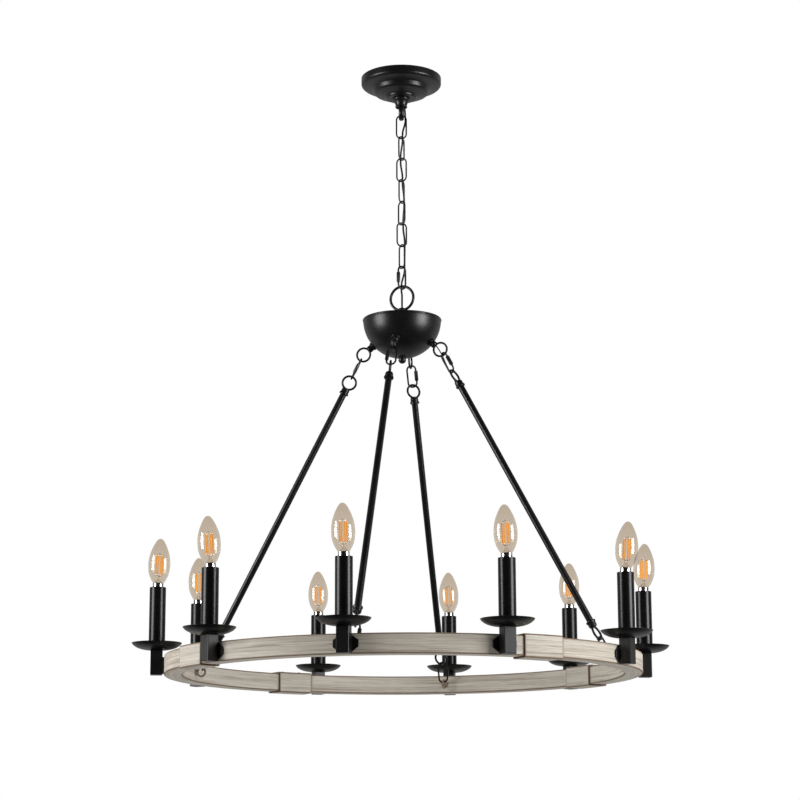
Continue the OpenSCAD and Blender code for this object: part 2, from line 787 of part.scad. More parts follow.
function mix(a, b, t) = a + (b - a) * t;
function ease(t) = t * t * (3 - 2 * t);

// Straight past each crossing, and an easy change of side between two of them
cord_route = concat(
    [[0, 0, -4], [0, 0, -canopy_h + 1]],
    [for (drop = slant_drops) let (out = drop * tan(cord_slant) * cord_at[0] / norm(cord_at[0]))
        [out[0], out[1], slant_z - drop]],
    [for (i = [0 : len(cord_at) - 2], s = [0 : cord_steps])
        let (high = cross_z[i] - cord_hold, low = cross_z[i + 1] + cord_hold, t = s / cord_steps,
             p = mix(cord_at[i], cord_at[i + 1], ease(t)))
        [p[0], p[1], mix(high, low, t)]],
    [[cord_at[8][0], cord_at[8][1], cross_z[8] - cord_hold], [0, 2, neck_top_z + 22],
     [0, 0.2, neck_top_z + 8], [0, 0, neck_top_z], [0, 0, hub_rim_z - 20]]);

module lamp_cord() {
    color("black") tube_along(cord_route, cord_d, cord_sides);
}

// Points beside a rod: across it, off its plane, and along it from the hub eye
function by_rod(x, y, s) = [x, y * cos(rod_lean) - s * sin(rod_lean) - hub_eye_r,
    hub_eye_z - y * sin(rod_lean) - s * cos(rod_lean)];
// Points along a hub eye's stub, counted from the bowl's centre
function by_eye(x, s) = [x, -s * sin(eye_polar), hub_rim_z - s * cos(eye_polar)];
// The lead goes into each ferrule at right angles to the ring's plane
lead_turn = rod_turns[lead_rod][1] + 90;
lead_in = 4.3 * [cos(lead_turn), sin(lead_turn)];
top_in = top_ring_s + ferrule_s;
low_in = rod_run - low_ring_s - ferrule_s;

lead_route = concat(
    [by_eye(lead_side, 52), by_eye(lead_side, 66)],
    smooth([by_eye(lead_side, 74), by_eye(lead_side, 80), by_rod(lead_side, 1.4, 5),
        by_rod(lead_side, 1.4, 13), by_rod(-2.2, 2.9, 26), by_rod(-0.5, 3.8, 39),
        by_rod(-0.4, 3.9, 47), by_rod(1, 4, 56),
        by_rod(lead_in[0], lead_in[1], top_in - 3), by_rod(lead_in[0], lead_in[1], top_in + 3),
        by_rod(0.8, 1.7, top_in + 8), by_rod(0, 0, top_in + 16)], 3),
    smooth([by_rod(0, 0, low_in - 16), by_rod(0.8, 1.7, low_in - 8),
        by_rod(lead_in[0], lead_in[1], low_in - 3), by_rod(lead_in[0], lead_in[1], low_in + 3),
        by_rod(1, 4, low_in + 10), by_rod(-0.4, 3.9, rod_run - 45),
        by_rod(-0.5, 3.8, rod_run - 35), by_rod(-3, 3, rod_run - 22),
        by_rod(-6, 1.8, rod_run - 8), [-9.5, -wheel_eye_r - 3, wheel_z + 1.5],
        [lead_wall_x, -wheel_r + ring_w + 3, wheel_z],
        [lead_wall_x, -wheel_r + ring_w - 4, wheel_z]], 3));

module rod_lead() {
    color("black") at_rod(lead_rod) tube_along(lead_route, lead_d, cord_sides);
}

ceiling_crossbar();
canopy();
canopy_nipple();
canopy_nut();
canopy_collar();
canopy_loop();
for (i = [1 : links]) chain_link(i);
chain_quick_link();
chain_quick_nut();
hub_ring();
hub_check_ring();
hub_cover();
hub_bowl();
hub_stem();
hub_finial();
hub_eyes();
rods();
rod_ends();
rod_quick_links();
rod_quick_nuts();
wheel_arc_front();
wheel_arc_right();
wheel_arc_back();
wheel_arc_left();
wheel_sleeves();
sleeve_screws();
wheel_eyes();
candle_plates();
candle_posts();
candle_pans();
candle_tubes();
lamp_sockets();
lamp_cord();
rod_lead();
for (i = [1 : candles]) bulb_glass(i);
for (i = [1 : candles]) bulb_base(i);
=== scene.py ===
"""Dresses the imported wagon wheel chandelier: detailed meshes and procedural materials over its
CAD frame, a pale studio, and the photograph's camera. Lengths are in millimetres until a mesh
is made."""

import math

import bmesh
import bpy
import numpy as np
from mathutils import Matrix, Vector


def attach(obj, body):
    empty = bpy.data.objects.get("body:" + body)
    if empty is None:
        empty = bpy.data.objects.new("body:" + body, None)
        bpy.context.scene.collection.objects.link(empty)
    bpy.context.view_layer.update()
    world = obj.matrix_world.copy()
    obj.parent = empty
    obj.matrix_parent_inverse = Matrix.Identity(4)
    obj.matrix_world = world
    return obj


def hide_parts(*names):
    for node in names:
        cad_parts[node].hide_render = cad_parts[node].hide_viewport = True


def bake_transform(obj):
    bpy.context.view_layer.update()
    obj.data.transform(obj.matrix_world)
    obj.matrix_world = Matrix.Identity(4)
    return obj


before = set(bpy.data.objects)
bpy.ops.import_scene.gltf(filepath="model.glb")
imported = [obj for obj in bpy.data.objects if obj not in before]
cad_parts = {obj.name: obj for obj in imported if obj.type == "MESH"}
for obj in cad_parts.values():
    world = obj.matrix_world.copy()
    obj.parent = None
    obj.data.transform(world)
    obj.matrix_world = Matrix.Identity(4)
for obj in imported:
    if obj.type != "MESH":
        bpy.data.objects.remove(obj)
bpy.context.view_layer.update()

MM = 0.001
SHARP_DEG = 32

# ---- The part's own sizes, as in its CAD source ----

CANDLES = 10
RODS = 4
LINKS = 7
PHASE = -12.5
ROD_SHIFT = (0, -6, 0.5, -1.5)
CANDLE_SHIFT = (0, -1, 0, 0, 1.4, 0.5, -1, 2.4, 0, 1.5)
HANG_GAP = 0.3

WHEEL_R = 381.0
RING_H = 30.0
RING_W = 30.0
TUBE_WALL = 1.5
TUBE_CORNER = 1.6
SLEEVE_DEG = 10.2
SLEEVE_CORNER = 2.2
SLEEVE_GAP = 1.0
SLEEVE_FIXED_SIDE = (-1, 1, 1, -1)
SCREW_STEP_DEG = 2.6
SCREW_HEAD_R = 3.6
SCREW_HEAD_H = 2.0

POST_W = 19.0
PLATE_W = 38.0
PLATE_H = 26.0
PLATE_T = 2.5
PAN_LIFT = 24.5
PAN_R = 40.0
PAN_H = 11.5
PAN_T = 1.2
CANDLE_R = 13.0
CANDLE_L = 98.5
CANDLE_WALL = 2.0
CANDLE_AT = WHEEL_R + PLATE_T + POST_W / 2
TUBE_LOW = PAN_LIFT + PAN_T
TUBE_TOP = TUBE_LOW + CANDLE_L
BULB_R = 17.5
BULB_L = 71.5
SKIRT_R = 8.5
SKIRT_UP = 7.0

ROD_DROP = 517.0
ROD_R = 5.35
ROD_RING_R = 13.0
ROD_RING_WIRE = 3.6
FERRULE_R = 6.7
FERRULE_L = 8.7
FERRULE_LIP_L = 2.6
FERRULE_LIP_R = FERRULE_R + 1.3
FERRULE_FLOOR = 3.0
QUICK_L = 40.0
QUICK_W = 18.0
QUICK_WIRE = 3.0
QUICK_SLOT = 8.0
QUICK_NUT_R = 3.2
QUICK_NUT_L = 17.0
NUT_CUT_R, NUT_CUT_L = 0.7, 1.3
ROD_TURNS = ((0, 104, 0), (46, -12, 39), (25, -17, 25), (16, 104, 12))
NUT_SIDES = ((-1, 1), (-1, 1), (-1, -1), (1, 1))

HUB_R = 64.5
HUB_WALL = 1.5
STEM_BORE_R = 5.05
COVER_T = 1.2
EYE_POLAR = 50.0
EYE_REACH = 86.0
EYE_R = 13.0
EYE_WIRE = 3.4
EYE_STUB_R = 5.75
EYE_FLANGE_R = 7.25
EYE_FLANGE_T = 2.5
EYE_SHANK_R = 5.0
HUB_RING_R = 22.5
HUB_RING_WIRE = 4.5
HUB_RING_YAW = -22.0
NECK_R = 6.0
CHECK_RING_R = 10.0
CHECK_RING_H = 4.0
FINIAL_R = 6.45
FINIAL_BAND = 3.2

WHEEL_EYE_R = 8.5
WHEEL_EYE_WIRE = 3.2
WHEEL_EYE_AT = WHEEL_R - RING_W - 10
WHEEL_FLANGE_R = 6.0

LINK_WIRE = 2.6
LINK_INNER = 38.1
LINK_W = 19.0
WELD_SWELL, WELD_HALF = 0.13, 1.9
LINK_YAW = (0, 58, -17, 59, -50, 20, -59)
CHAIN_QUICK_L = QUICK_L + 1.5
CHAIN_QUICK_W = QUICK_W + 0.5
CHAIN_QUICK_YAW = 41.0
CORD_R = 1.6
CORD_BORE_R = CORD_R + 0.7
LEAD_R = 1.0

CANOPY_R = 67.5
CANOPY_H = 36.0
STEM_R = 8.0
LOOP_R = 14.0
LOOP_BAR = 7.0
LOOP_W = 9.0
COLLAR_TOP_R = 14.5
COLLAR_LOW_R = 9.3
COLLAR_H = 16.0
LOOP_DROP = 24.3
LOOP_Z = -(CANOPY_H + LOOP_DROP)

LINK_REACH = (LINK_INNER + LINK_WIRE) / 2
LINK_PITCH = LINK_INNER - HANG_GAP
LINK_TOP_Z = LOOP_Z - LOOP_R + LOOP_BAR + LINK_WIRE / 2 + HANG_GAP
LINK_Z = [LINK_TOP_Z - LINK_REACH - i * LINK_PITCH for i in range(LINKS)]
CHAIN_QUICK_REACH = (CHAIN_QUICK_L - QUICK_WIRE) / 2
CHAIN_QUICK_Z = (LINK_Z[-1] - LINK_REACH + (LINK_WIRE + QUICK_WIRE) / 2 + HANG_GAP
                 - CHAIN_QUICK_REACH)
HUB_RING_Z = (CHAIN_QUICK_Z - CHAIN_QUICK_REACH + (QUICK_WIRE + HUB_RING_WIRE) / 2 + HANG_GAP
              - (HUB_RING_R - HUB_RING_WIRE / 2))
RING_OVER_RIM = 14.7
NECK_IN_RING = 6.4
HUB_RIM_Z = HUB_RING_Z - HUB_RING_R - RING_OVER_RIM
NECK_TOP_Z = HUB_RING_Z - HUB_RING_R + NECK_IN_RING

HUB_EYE_AT = EYE_REACH * math.sin(math.radians(EYE_POLAR))
HUB_EYE_Z = HUB_RIM_Z - EYE_REACH * math.cos(math.radians(EYE_POLAR))
WHEEL_Z = HUB_EYE_Z - ROD_DROP
ROD_RUN = math.hypot(WHEEL_EYE_AT - HUB_EYE_AT, ROD_DROP)
ROD_LEAN = math.degrees(math.atan2(WHEEL_EYE_AT - HUB_EYE_AT, ROD_DROP))
QUICK_REACH = (QUICK_L - QUICK_WIRE) / 2
ROD_RING_REACH = ROD_RING_R - ROD_RING_WIRE / 2
WIRE_STEP = (QUICK_WIRE + ROD_RING_WIRE) / 2 + HANG_GAP
FERRULE_S = ROD_RING_R - ROD_RING_WIRE + 0.8
ROD_BACK = 6.5
ROD_BORE_R = 4.0


def link_along(eye_r, wire):
    return eye_r - wire / 2 - (wire + QUICK_WIRE) / 2 - HANG_GAP + QUICK_REACH


def ring_along(eye_r, wire):
    return link_along(eye_r, wire) + QUICK_REACH - WIRE_STEP + ROD_RING_REACH


TOP_LINK_S = link_along(EYE_R, EYE_WIRE)
TOP_RING_S = ring_along(EYE_R, EYE_WIRE)
LOW_LINK_S = link_along(WHEEL_EYE_R, WHEEL_EYE_WIRE)
LOW_RING_S = ring_along(WHEEL_EYE_R, WHEEL_EYE_WIRE)

# Outline of the glass: share of its greatest radius, share of its height
GLASS_LINE = ((0.48, 0), (0.55, 0.025), (0.66, 0.07), (0.80, 0.14), (0.90, 0.21),
              (0.965, 0.29), (1, 0.42), (0.985, 0.49), (0.95, 0.56), (0.895, 0.63),
              (0.81, 0.70), (0.69, 0.78), (0.56, 0.85), (0.42, 0.915), (0.29, 0.96),
              (0.15, 0.99), (0, 1))

# Where the lamp cord passes each crossing of two wires, beside the chain's axis
CORD_AT = ((6.8, 3.8), (1.95, -3.55), (-1.45, 3.9), (1.5, -3.9), (4.1, 0.3), (2.4, 4.5),
           (4.9, -1.75), (4.5, -0.7), (-0.85, 4.9))
CORD_HOLD = 4.5
CORD_SLANT, SLANT_Z, SLANT_DROPS = 22, -CANOPY_H - 2, (1, 8, 13, 17)
CORD_STEPS = 5
CROSS_Z = ([LOOP_Z - 8] + [z - LINK_REACH + 1.5 for z in LINK_Z]
           + [CHAIN_QUICK_Z - CHAIN_QUICK_REACH + 2])

# ---- Places ----


def shift(x, y, z):
    return Matrix.Translation((x, y, z))


def lift(z):
    return shift(0, 0, z)


def turn(axis, degrees):
    return Matrix.Rotation(math.radians(degrees), 4, axis)


def flip_z():
    return Matrix.Diagonal((1, 1, -1, 1))


def at_rod(k):
    return turn("Z", PHASE + k * 360 / RODS + ROD_SHIFT[k])


def from_hub_eye(k):
    """Along a rod, with its hub eye at the origin and the rod down -Z."""
    return at_rod(k) @ shift(0, -HUB_EYE_AT, HUB_EYE_Z) @ turn("X", -ROD_LEAN)


def from_wheel_eye(k):
    return from_hub_eye(k) @ lift(-ROD_RUN) @ flip_z()


def at_hub_eye(k):
    return at_rod(k) @ lift(HUB_RIM_Z) @ turn("X", -EYE_POLAR)


def candle_angle(i):
    return PHASE + (i - 1) * 360 / CANDLES + CANDLE_SHIFT[i - 1]


def at_candle(i):
    return turn("Z", candle_angle(i)) @ shift(0, -CANDLE_AT, WHEEL_Z)


def joint_angle(k):
    return PHASE + (k - 0.5) * 360 / RODS


# ---- Shapes ----


class Shape:
    """Points and faces of one piece, with named values for each point."""

    def __init__(self):
        self.points, self.faces, self.values = [], [], {}

    def add(self, part, place=None, **values):
        points, faces = part[0], part[1]
        start = len(self.points)
        matrix = place or Matrix.Identity(4)
        self.points += [matrix @ Vector(p) for p in points]
        self.faces += [tuple(start + i for i in face) for face in faces]
        for name, column in values.items():
            known = self.values.setdefault(name, [])
            known += [column[0]] * (start - len(known))
            known += list(column)
        return self


def placed(name, data):
    """The scene's object for a mesh, light or camera."""
    thing = bpy.data.objects.new(name, data)
    bpy.context.scene.collection.objects.link(thing)
    return thing


def make(name, shape, material, body, stands_for=(), sharp_deg=SHARP_DEG):
    """The mesh object of a shape, smooth but for its sharp edges, riding on its body."""
    mesh = bpy.data.meshes.new(name)
    mesh.from_pydata([p * MM for p in shape.points], [], shape.faces)
    whole = bmesh.new()
    whole.from_mesh(mesh)
    bmesh.ops.recalc_face_normals(whole, faces=whole.faces)
    whole.to_mesh(mesh)
    whole.free()
    mesh.shade_smooth()
    mesh.set_sharp_from_angle(angle=math.radians(sharp_deg))
    for value, column in shape.values.items():
        kind = "FLOAT_VECTOR" if hasattr(column[0], "__len__") else "FLOAT"
        layer = mesh.attributes.new(value, kind, "POINT")
        flat = np.asarray(column, np.float32).ravel()
        layer.data.foreach_set("vector" if kind == "FLOAT_VECTOR" else "value", flat)
    mesh.materials.append(material)
    piece = placed(name, mesh)
    if body:
        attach(piece, body)
    if stands_for:
        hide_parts(*stands_for)
    return piece


def eased(corners, steps=4, closed=False):
    """A line through (x, y, cut) corners, each rounded off from cut before it to cut past it."""
    line = []
    count = len(corners)
    for i, (x, y, cut) in enumerate(corners):
        here = np.array((x, y), float)
        if cut == 0 or (not closed and i in (0, count - 1)):
            line.append(tuple(here))
            continue
        back = np.array(corners[i - 1][:2], float) - here
        ahead = np.array(corners[(i + 1) % count][:2], float) - here
        start = here + back * min(0.48, cut / np.linalg.norm(back))
        end = here + ahead * min(0.48, cut / np.linalg.norm(ahead))
        for s in range(steps + 1):
            t = s / steps
            line.append(tuple((1 - t) ** 2 * start + 2 * t * (1 - t) * here + t * t * end))
    return line


def lathe(outline, sides=64, closed=False):
    """An (r, z) outline turned about Z."""
    points, faces, rows = [], [], []
    for r, z in outline:
        if r < 1e-6:
            rows.append([len(points)] * sides)
            points.append((0, 0, z))
            continue
        rows.append(list(range(len(points), len(points) + sides)))
        for j in range(sides):
            a = math.tau * j / sides
            points.append((r * math.cos(a), r * math.sin(a), z))
    for low, high in zip(rows, rows[1:] + ([rows[0]] if closed else [])):
        for j in range(sides):
            k = (j + 1) % sides
            face = []
            for corner in (low[j], low[k], high[k], high[j]):
                if corner not in face:
                    face.append(corner)
            if len(face) > 2:
                faces.append(tuple(face))
    return points, faces


def disc(radius, sides=16):
    return [(radius * math.cos(math.tau * j / sides), radius * math.sin(math.tau * j / sides))
            for j in range(sides)]


def sweep(path, section, closed=False, up=None, swell=None):
    """A closed section carried along a path, with flat ends if the path is open."""
    path = np.asarray(path, float)
    count, sides = len(path), len(section)
    ahead = np.roll(path, -1, 0) if closed else np.vstack([path[1:], path[-1:]])
    behind = np.roll(path, 1, 0) if closed else np.vstack([path[:1], path[:-1]])
    along = ahead - behind
    along /= np.linalg.norm(along, axis=1)[:, None]
    across = np.array(up if up is not None else np.cross(along[0], (0.3, 0.9, 0.31)), float)
    points, faces = [], []
    for i in range(count):
        if up is not None:
            across = np.array(up, float)
        across = across - along[i] * (across @ along[i])
        across /= np.linalg.norm(across)
        other = np.cross(along[i], across)
        k = swell[i] if swell is not None else 1.0
        points += [tuple(path[i] + k * (u * across + v * other)) for u, v in section]
    for i in range(count if closed else count - 1):
        n = (i + 1) % count
        for j in range(sides):
            m = (j + 1) % sides
            faces.append((i * sides + j, i * sides + m, n * sides + m, n * sides + j))
    if not closed:
        faces.append(tuple(range(sides - 1, -1, -1)))
        faces.append(tuple((count - 1) * sides + j for j in range(sides)))
    return points, faces


def wire_ring(radius, wire, steps=64, sides=16):
    """A ring of round wire, flat to the front."""
    reach = radius - wire / 2
    path = [(reach * math.cos(math.tau * i / steps), 0, reach * math.sin(math.tau * i / steps))
            for i in range(steps)]
    return sweep(path, disc(wire / 2, sides), closed=True, up=(0, 1, 0))


def oval_line(length, width, wire, bend_steps=20, leg_steps=24):
    """Centre line of a long loop of wire: its left leg comes last."""
    reach = (width - wire) / 2
    half_leg = (length - width) / 2
    line = []
    for s in range(leg_steps):
        line.append((reach, 0, -half_leg + 2 * half_leg * s / leg_steps))
    for s in range(bend_steps):
        a = math.pi * s / bend_steps
        line.append((reach * math.cos(a), 0, half_leg + reach * math.sin(a)))
    for s in range(leg_steps):
        line.append((-reach, 0, half_leg - 2 * half_leg * s / leg_steps))
    for s in range(bend_steps):
        a = math.pi + math.pi * s / bend_steps
        line.append((reach * math.cos(a), 0, -half_leg + reach * math.sin(a)))
    return line


def chain_oval(length, width, wire):
    """A chain link with the low weld bead of its closed joint."""
    line = oval_line(length, width, wire)
    weld = (line[0][0], 0, 0)
    swell = [1 + WELD_SWELL * max(0.0, 1 - (math.dist(p, weld) / WELD_HALF) ** 2)
             for p in line]
    return sweep(line, disc(wire / 2), closed=True, up=(0, 1, 0), swell=swell)


def quick_oval(length, width, side):
    """The wire of a quick link, open in the leg on the nut's side."""
    reach = (width - QUICK_WIRE) / 2
    half_leg = (length - width) / 2
    line = [(reach, 0, z) for z in np.linspace(QUICK_SLOT / 2, half_leg, 8)]
    line += [(reach * math.cos(a), 0, half_leg + reach * math.sin(a))
             for a in np.linspace(0, math.pi, 22)[1:]]
    line += [(-reach, 0, z) for z in np.linspace(half_leg, -half_leg, 10)[1:]]
    line += [(reach * math.cos(a), 0, -half_leg + reach * math.sin(a))
             for a in np.linspace(math.pi, math.tau, 22)[1:]]
    line += [(reach, 0, z) for z in np.linspace(-half_leg, -QUICK_SLOT / 2, 8)[1:]]
    return sweep([(side * x, y, z) for x, y, z in line], disc(QUICK_WIRE / 2), up=(0, 1, 0))


def quick_nut(width, side):
    """The six-sided sleeve nut of a quick link, turned round at both ends."""
    at = side * (width - QUICK_WIRE) / 2
    half = QUICK_NUT_L / 2
    bore = QUICK_WIRE / 2 + 0.1
    ring = [(bore, -half), (QUICK_NUT_R - NUT_CUT_R, -half), (QUICK_NUT_R, -half + NUT_CUT_L),
            (QUICK_NUT_R, half - NUT_CUT_L), (QUICK_NUT_R - NUT_CUT_R, half), (bore, half)]
    points, faces = lathe(ring, sides=24, closed=True)
    made = []
    for x, y, z in points:
        r, a = math.hypot(x, y), math.atan2(y, x)
        flat = QUICK_NUT_R * math.cos(math.pi / 6) / math.cos((a % (math.pi / 3)) - math.pi / 6)
        k = min(r, flat) / r if r > bore + 0.1 else 1
        made.append((at + x * k, y * k, z))
    return made, faces


def eased_box(x, y, z, edge, steps=3):
    """A box about the origin with rounded edges."""
    box = bmesh.new()
    bmesh.ops.create_cube(box, size=1)
    bmesh.ops.scale(box, vec=(x, y, z), verts=box.verts)
    bmesh.ops.bevel(box, geom=box.edges[:], offset=edge, segments=steps, profile=0.5,
                    affect="EDGES")
    return taken(box)


def taken(shape):
    """Points and faces of a bmesh, which is then freed."""
    shape.verts.index_update()
    points = [tuple(v.co) for v in shape.verts]
    faces = [tuple(v.index for v in f.verts) for f in shape.faces]
    shape.free()
    return points, faces


def eased_plate(outline, thickness, edge):
    """A flat plate of an (x, z) outline, from y 0 to its thickness, with rounded rims."""
    plate = bmesh.new()
    front = [plate.verts.new((x, 0, z)) for x, z in outline]
    face = plate.faces.new(front)
    grown = bmesh.ops.extrude_face_region(plate, geom=[face])["geom"]
    bmesh.ops.translate(plate, vec=(0, thickness, 0),
                        verts=[g for g in grown if isinstance(g, bmesh.types.BMVert)])
    bmesh.ops.recalc_face_normals(plate, faces=plate.faces)
    bmesh.ops.bevel(plate, geom=plate.edges[:], offset=edge, segments=2, profile=0.5,
                    affect="EDGES")
    return taken(plate)


def smooth_line(points, steps=4):
    """A Catmull-Rom curve through a row of points."""
    p = np.asarray(points, float)
    last = len(p) - 1
    line = []
    for i in range(last):
        a, b, c, d = p[max(i - 1, 0)], p[i], p[i + 1], p[min(i + 2, last)]
        for s in range(steps):
            t = s / steps
            line.append(0.5 * (2 * b + (c - a) * t + (2 * a - 5 * b + 4 * c - d) * t * t
                               + (3 * b - a - 3 * c + d) * t ** 3))
    line.append(p[last])
    return line


# ---- Materials ----


class Nodes:
    """Adds and joins the nodes of one material, or of a world."""

    def __init__(self, name, kind="materials"):
        self.owner = getattr(bpy.data, kind).new(name)
        self.owner.use_nodes = True
        self.tree = self.owner.node_tree
        self.tree.nodes.clear()

    def add(self, kind, inputs=None, **settings):
        node = self.tree.nodes.new(kind)
        for key, value in settings.items():
            setattr(node, key, value)
        for key, value in (inputs or {}).items():
            self.put(node.inputs[key], value)
        return node

    def put(self, socket, value):
        if isinstance(value, bpy.types.NodeSocket):
            self.tree.links.new(value, socket)
        elif isinstance(value, bpy.types.Node):
            self.tree.links.new(value.outputs[0], socket)
        else:
            socket.default_value = value

    def noise(self, vector, scale, detail=3.0, roughness=0.5):
        return self.add("ShaderNodeTexNoise", {"Vector": vector, "Scale": scale, "Detail": detail,
                                               "Roughness": roughness}).outputs["Fac"]

    def ramp(self, value, stops):
        node = self.add("ShaderNodeValToRGB")
        band = node.color_ramp
        while len(band.elements) < len(stops):
            band.elements.new(0.5)
        for element, (at, colour) in zip(band.elements, stops):
            element.position = at
            element.color = (*colour, 1.0)
        self.put(node.inputs["Fac"], value)
        return node.outputs["Color"]

    def level(self, value, low, high, to_low=0.0, to_high=1.0, **settings):
        inputs = {"Value": value, "From Min": low, "From Max": high, "To Min": to_low,
                  "To Max": to_high}
        return self.add("ShaderNodeMapRange", inputs, **settings).outputs["Result"]

    def math(self, operation, a, b=0.0):
        node = self.add("ShaderNodeMath", operation=operation)
        self.put(node.inputs[0], a)
        self.put(node.inputs[1], b)
        return node.outputs[0]

    def mix(self, factor, a, b, kind="MIX"):
        node = self.add("ShaderNodeMix", data_type="RGBA", blend_type=kind)
        self.put(node.inputs[0], factor)
        self.put(node.inputs[6], a if not isinstance(a, tuple) else (*a, 1.0))
        self.put(node.inputs[7], b if not isinstance(b, tuple) else (*b, 1.0))
        return node.outputs[2]

    def stretch(self, vector, x, y, z):
        return self.add("ShaderNodeMapping", {"Vector": vector, "Scale": (x, y, z)}).outputs[0]

    def place(self):
        return self.add("ShaderNodeTexCoord").outputs["Object"]

    def bump(self, height, strength, depth):
        return self.add("ShaderNodeBump", {"Height": height, "Strength": strength,
                                           "Distance": depth}).outputs[0]

    def surface(self, shader, output="ShaderNodeOutputMaterial"):
        self.add(output, {"Surface": shader})
        return self.owner

    def coat(self, inputs):
        return self.surface(self.add("ShaderNodeBsdfPrincipled", inputs))


def satin_paint(name, dark, pale, rough, peel, specular=0.42):
    """Sprayed paint on metal: a fine orange peel, and faint cloudiness in colour and gloss."""
    n = Nodes(name)
    at = n.place()
    cloud = n.noise(at, 28.0, detail=4.0)
    peel_height = n.noise(at, 420.0, detail=2.0)
    speck = n.level(n.noise(at, 2600.0, detail=1.0), 0.62, 0.72)
    colour = n.ramp(n.math("ADD", cloud, n.math("MULTIPLY", speck, 0.2)),
                    ((0.35, dark), (0.85, pale)))
    gloss = n.level(cloud, 0.3, 0.7, rough - 0.015, rough + 0.02)
    return n.coat({
        "Base Color": colour, "Roughness": gloss, "Specular IOR Level": specular,
        "Normal": n.bump(peel_height, peel, 0.0001)})


def bare_metal(name, colour, pale, rough):
    """Plated metal with faint drawing lines and spots."""
    n = Nodes(name)
    at = n.place()
    line = n.noise(n.stretch(at, 1, 1, 0.12), 400.0, detail=3.0)
    spot = n.noise(at, 160.0, detail=4.0)
    tone = n.ramp(n.math("MULTIPLY", n.math("ADD", line, spot), 0.5),
                  ((0.3, colour), (0.7, pale)))
    return n.coat({
        "Base Color": tone, "Metallic": 1.0,
        "Roughness": n.level(spot, 0.2, 0.8, rough - 0.06, rough + 0.08),
        "Normal": n.bump(line, 0.08, 0.0002)})


def wood_paint(name):
    """Whitewashed wood finish. grain holds arc length, radius and height in metres, so its
    streaks run round the wheel. rim is 1 along edges, cut ends and inner walls, and near 1 on
    the eye rings, where brown is mixed in: real glaze along the edges and on the eye rings,
    painted shade at the cut ends, beside the sleeve ends and inside the tubes."""
    n = Nodes(name)
    grain = n.add("ShaderNodeAttribute", attribute_name="grain").outputs["Vector"]
    rim = n.add("ShaderNodeAttribute", attribute_name="rim").outputs["Fac"]
    wave = n.noise(n.stretch(grain, 9, 60, 60), 1.0, detail=3.0)
    wavy = n.add("ShaderNodeVectorMath", {0: grain, 1: n.add(
        "ShaderNodeCombineXYZ", {"Y": n.math("MULTIPLY", wave, 0.004),
                                 "Z": n.math("MULTIPLY", wave, 0.006)}).outputs[0]},
        operation="ADD").outputs[0]
    fine = n.noise(n.stretch(wavy, 8, 900, 900), 1.0, detail=4.0, roughness=0.62)
    broad = n.noise(n.stretch(wavy, 4, 210, 210), 1.0, detail=3.0)
    patch = n.noise(n.stretch(grain, 7, 22, 22), 1.0, detail=3.0)
    brush = n.noise(n.stretch(grain, 55, 2600, 2600), 1.0, detail=2.0)
    streak = n.math("ADD", n.math("MULTIPLY", fine, 0.62), n.math("MULTIPLY", broad, 0.38))
    wash = n.ramp(streak, ((0.36, (0.28, 0.225, 0.165)), (0.44, (0.41, 0.36, 0.29)),
                           (0.50, (0.50, 0.45, 0.38)), (0.58, (0.61, 0.565, 0.49))))
    cooler = n.mix(n.level(patch, 0.38, 0.66, 0.0, 0.28), wash, (0.52, 0.49, 0.45))
    scratch = n.mix(n.level(brush, 0.58, 0.70, 0.0, 0.35), cooler, (0.26, 0.205, 0.15))
    # Brown mixed in by rim: painted shade at cut ends, sleeve ends and inside the tubes, real
    # glaze along the edges and on the eye rings
    ragged = n.math("ADD", rim, n.math("MULTIPLY", n.math("SUBTRACT", streak, 0.5), 1.3))
    glaze_and_shade = n.mix(n.level(ragged, 0.30, 1.0, 0.0, 0.86), scratch, (0.15, 0.095, 0.055))
    return n.coat({
        "Base Color": glaze_and_shade, "Roughness": n.level(streak, 0.3, 0.7, 0.62, 0.48),
        "Specular IOR Level": n.level(rim, 0.2, 0.8, 0.25, 0.05),
        "Normal": n.bump(n.math("ADD", n.math("MULTIPLY", fine, 0.7),
                                n.math("MULTIPLY", brush, 0.3)), 0.35, 0.0004)})


def moulded_plastic(name, colour, pale, rough):
    n = Nodes(name)
    at = n.place()
    mottle = n.noise(at, 300.0, detail=3.0)
    return n.coat({
        "Base Color": n.ramp(mottle, ((0.3, colour), (0.7, pale))),
        "Roughness": n.level(mottle, 0.2, 0.8, rough - 0.05, rough + 0.05),
        "Normal": n.bump(n.noise(at, 1500.0), 0.06, 0.0002)})


def tinted_glass(name, middle, edge, tip, shine):
    """A thin wall of glass, seen through twice: tinted at its middle, rim and tip, with the
    sharp gloss of a clear wall. rise is the share of the glass's height."""
    n = Nodes(name)
    rise = n.add("ShaderNodeAttribute", attribute_name="rise").outputs["Fac"]
    facing = n.add("ShaderNodeLayerWeight", {"Blend": 0.5}).outputs["Facing"]
    streaks = n.noise(n.stretch(n.place(), 1, 1, 0.5), 60.0, detail=2.0)
    turned = n.level(n.math("ADD", facing, n.math("MULTIPLY", streaks, 0.08)), 0.34, 1.02)
    tint = n.mix(n.math("POWER", turned, 2.0), middle, edge)
    tint = n.mix(n.level(rise, 0.50, 0.95), tint, tip)
    clear = n.add("ShaderNodeBsdfTransparent", {"Color": tint})
    gloss = n.add("ShaderNodeBsdfGlossy", {"Color": (1, 1, 1, 1), "Roughness": 0.04})
    grazing = n.math("MULTIPLY", n.math("POWER", facing, 5.0), 0.6)
    share = n.math("ADD", grazing, shine)
    both = n.add("ShaderNodeMixShader", {0: share, 1: clear.outputs[0], 2: gloss.outputs[0]})
    return n.surface(both)


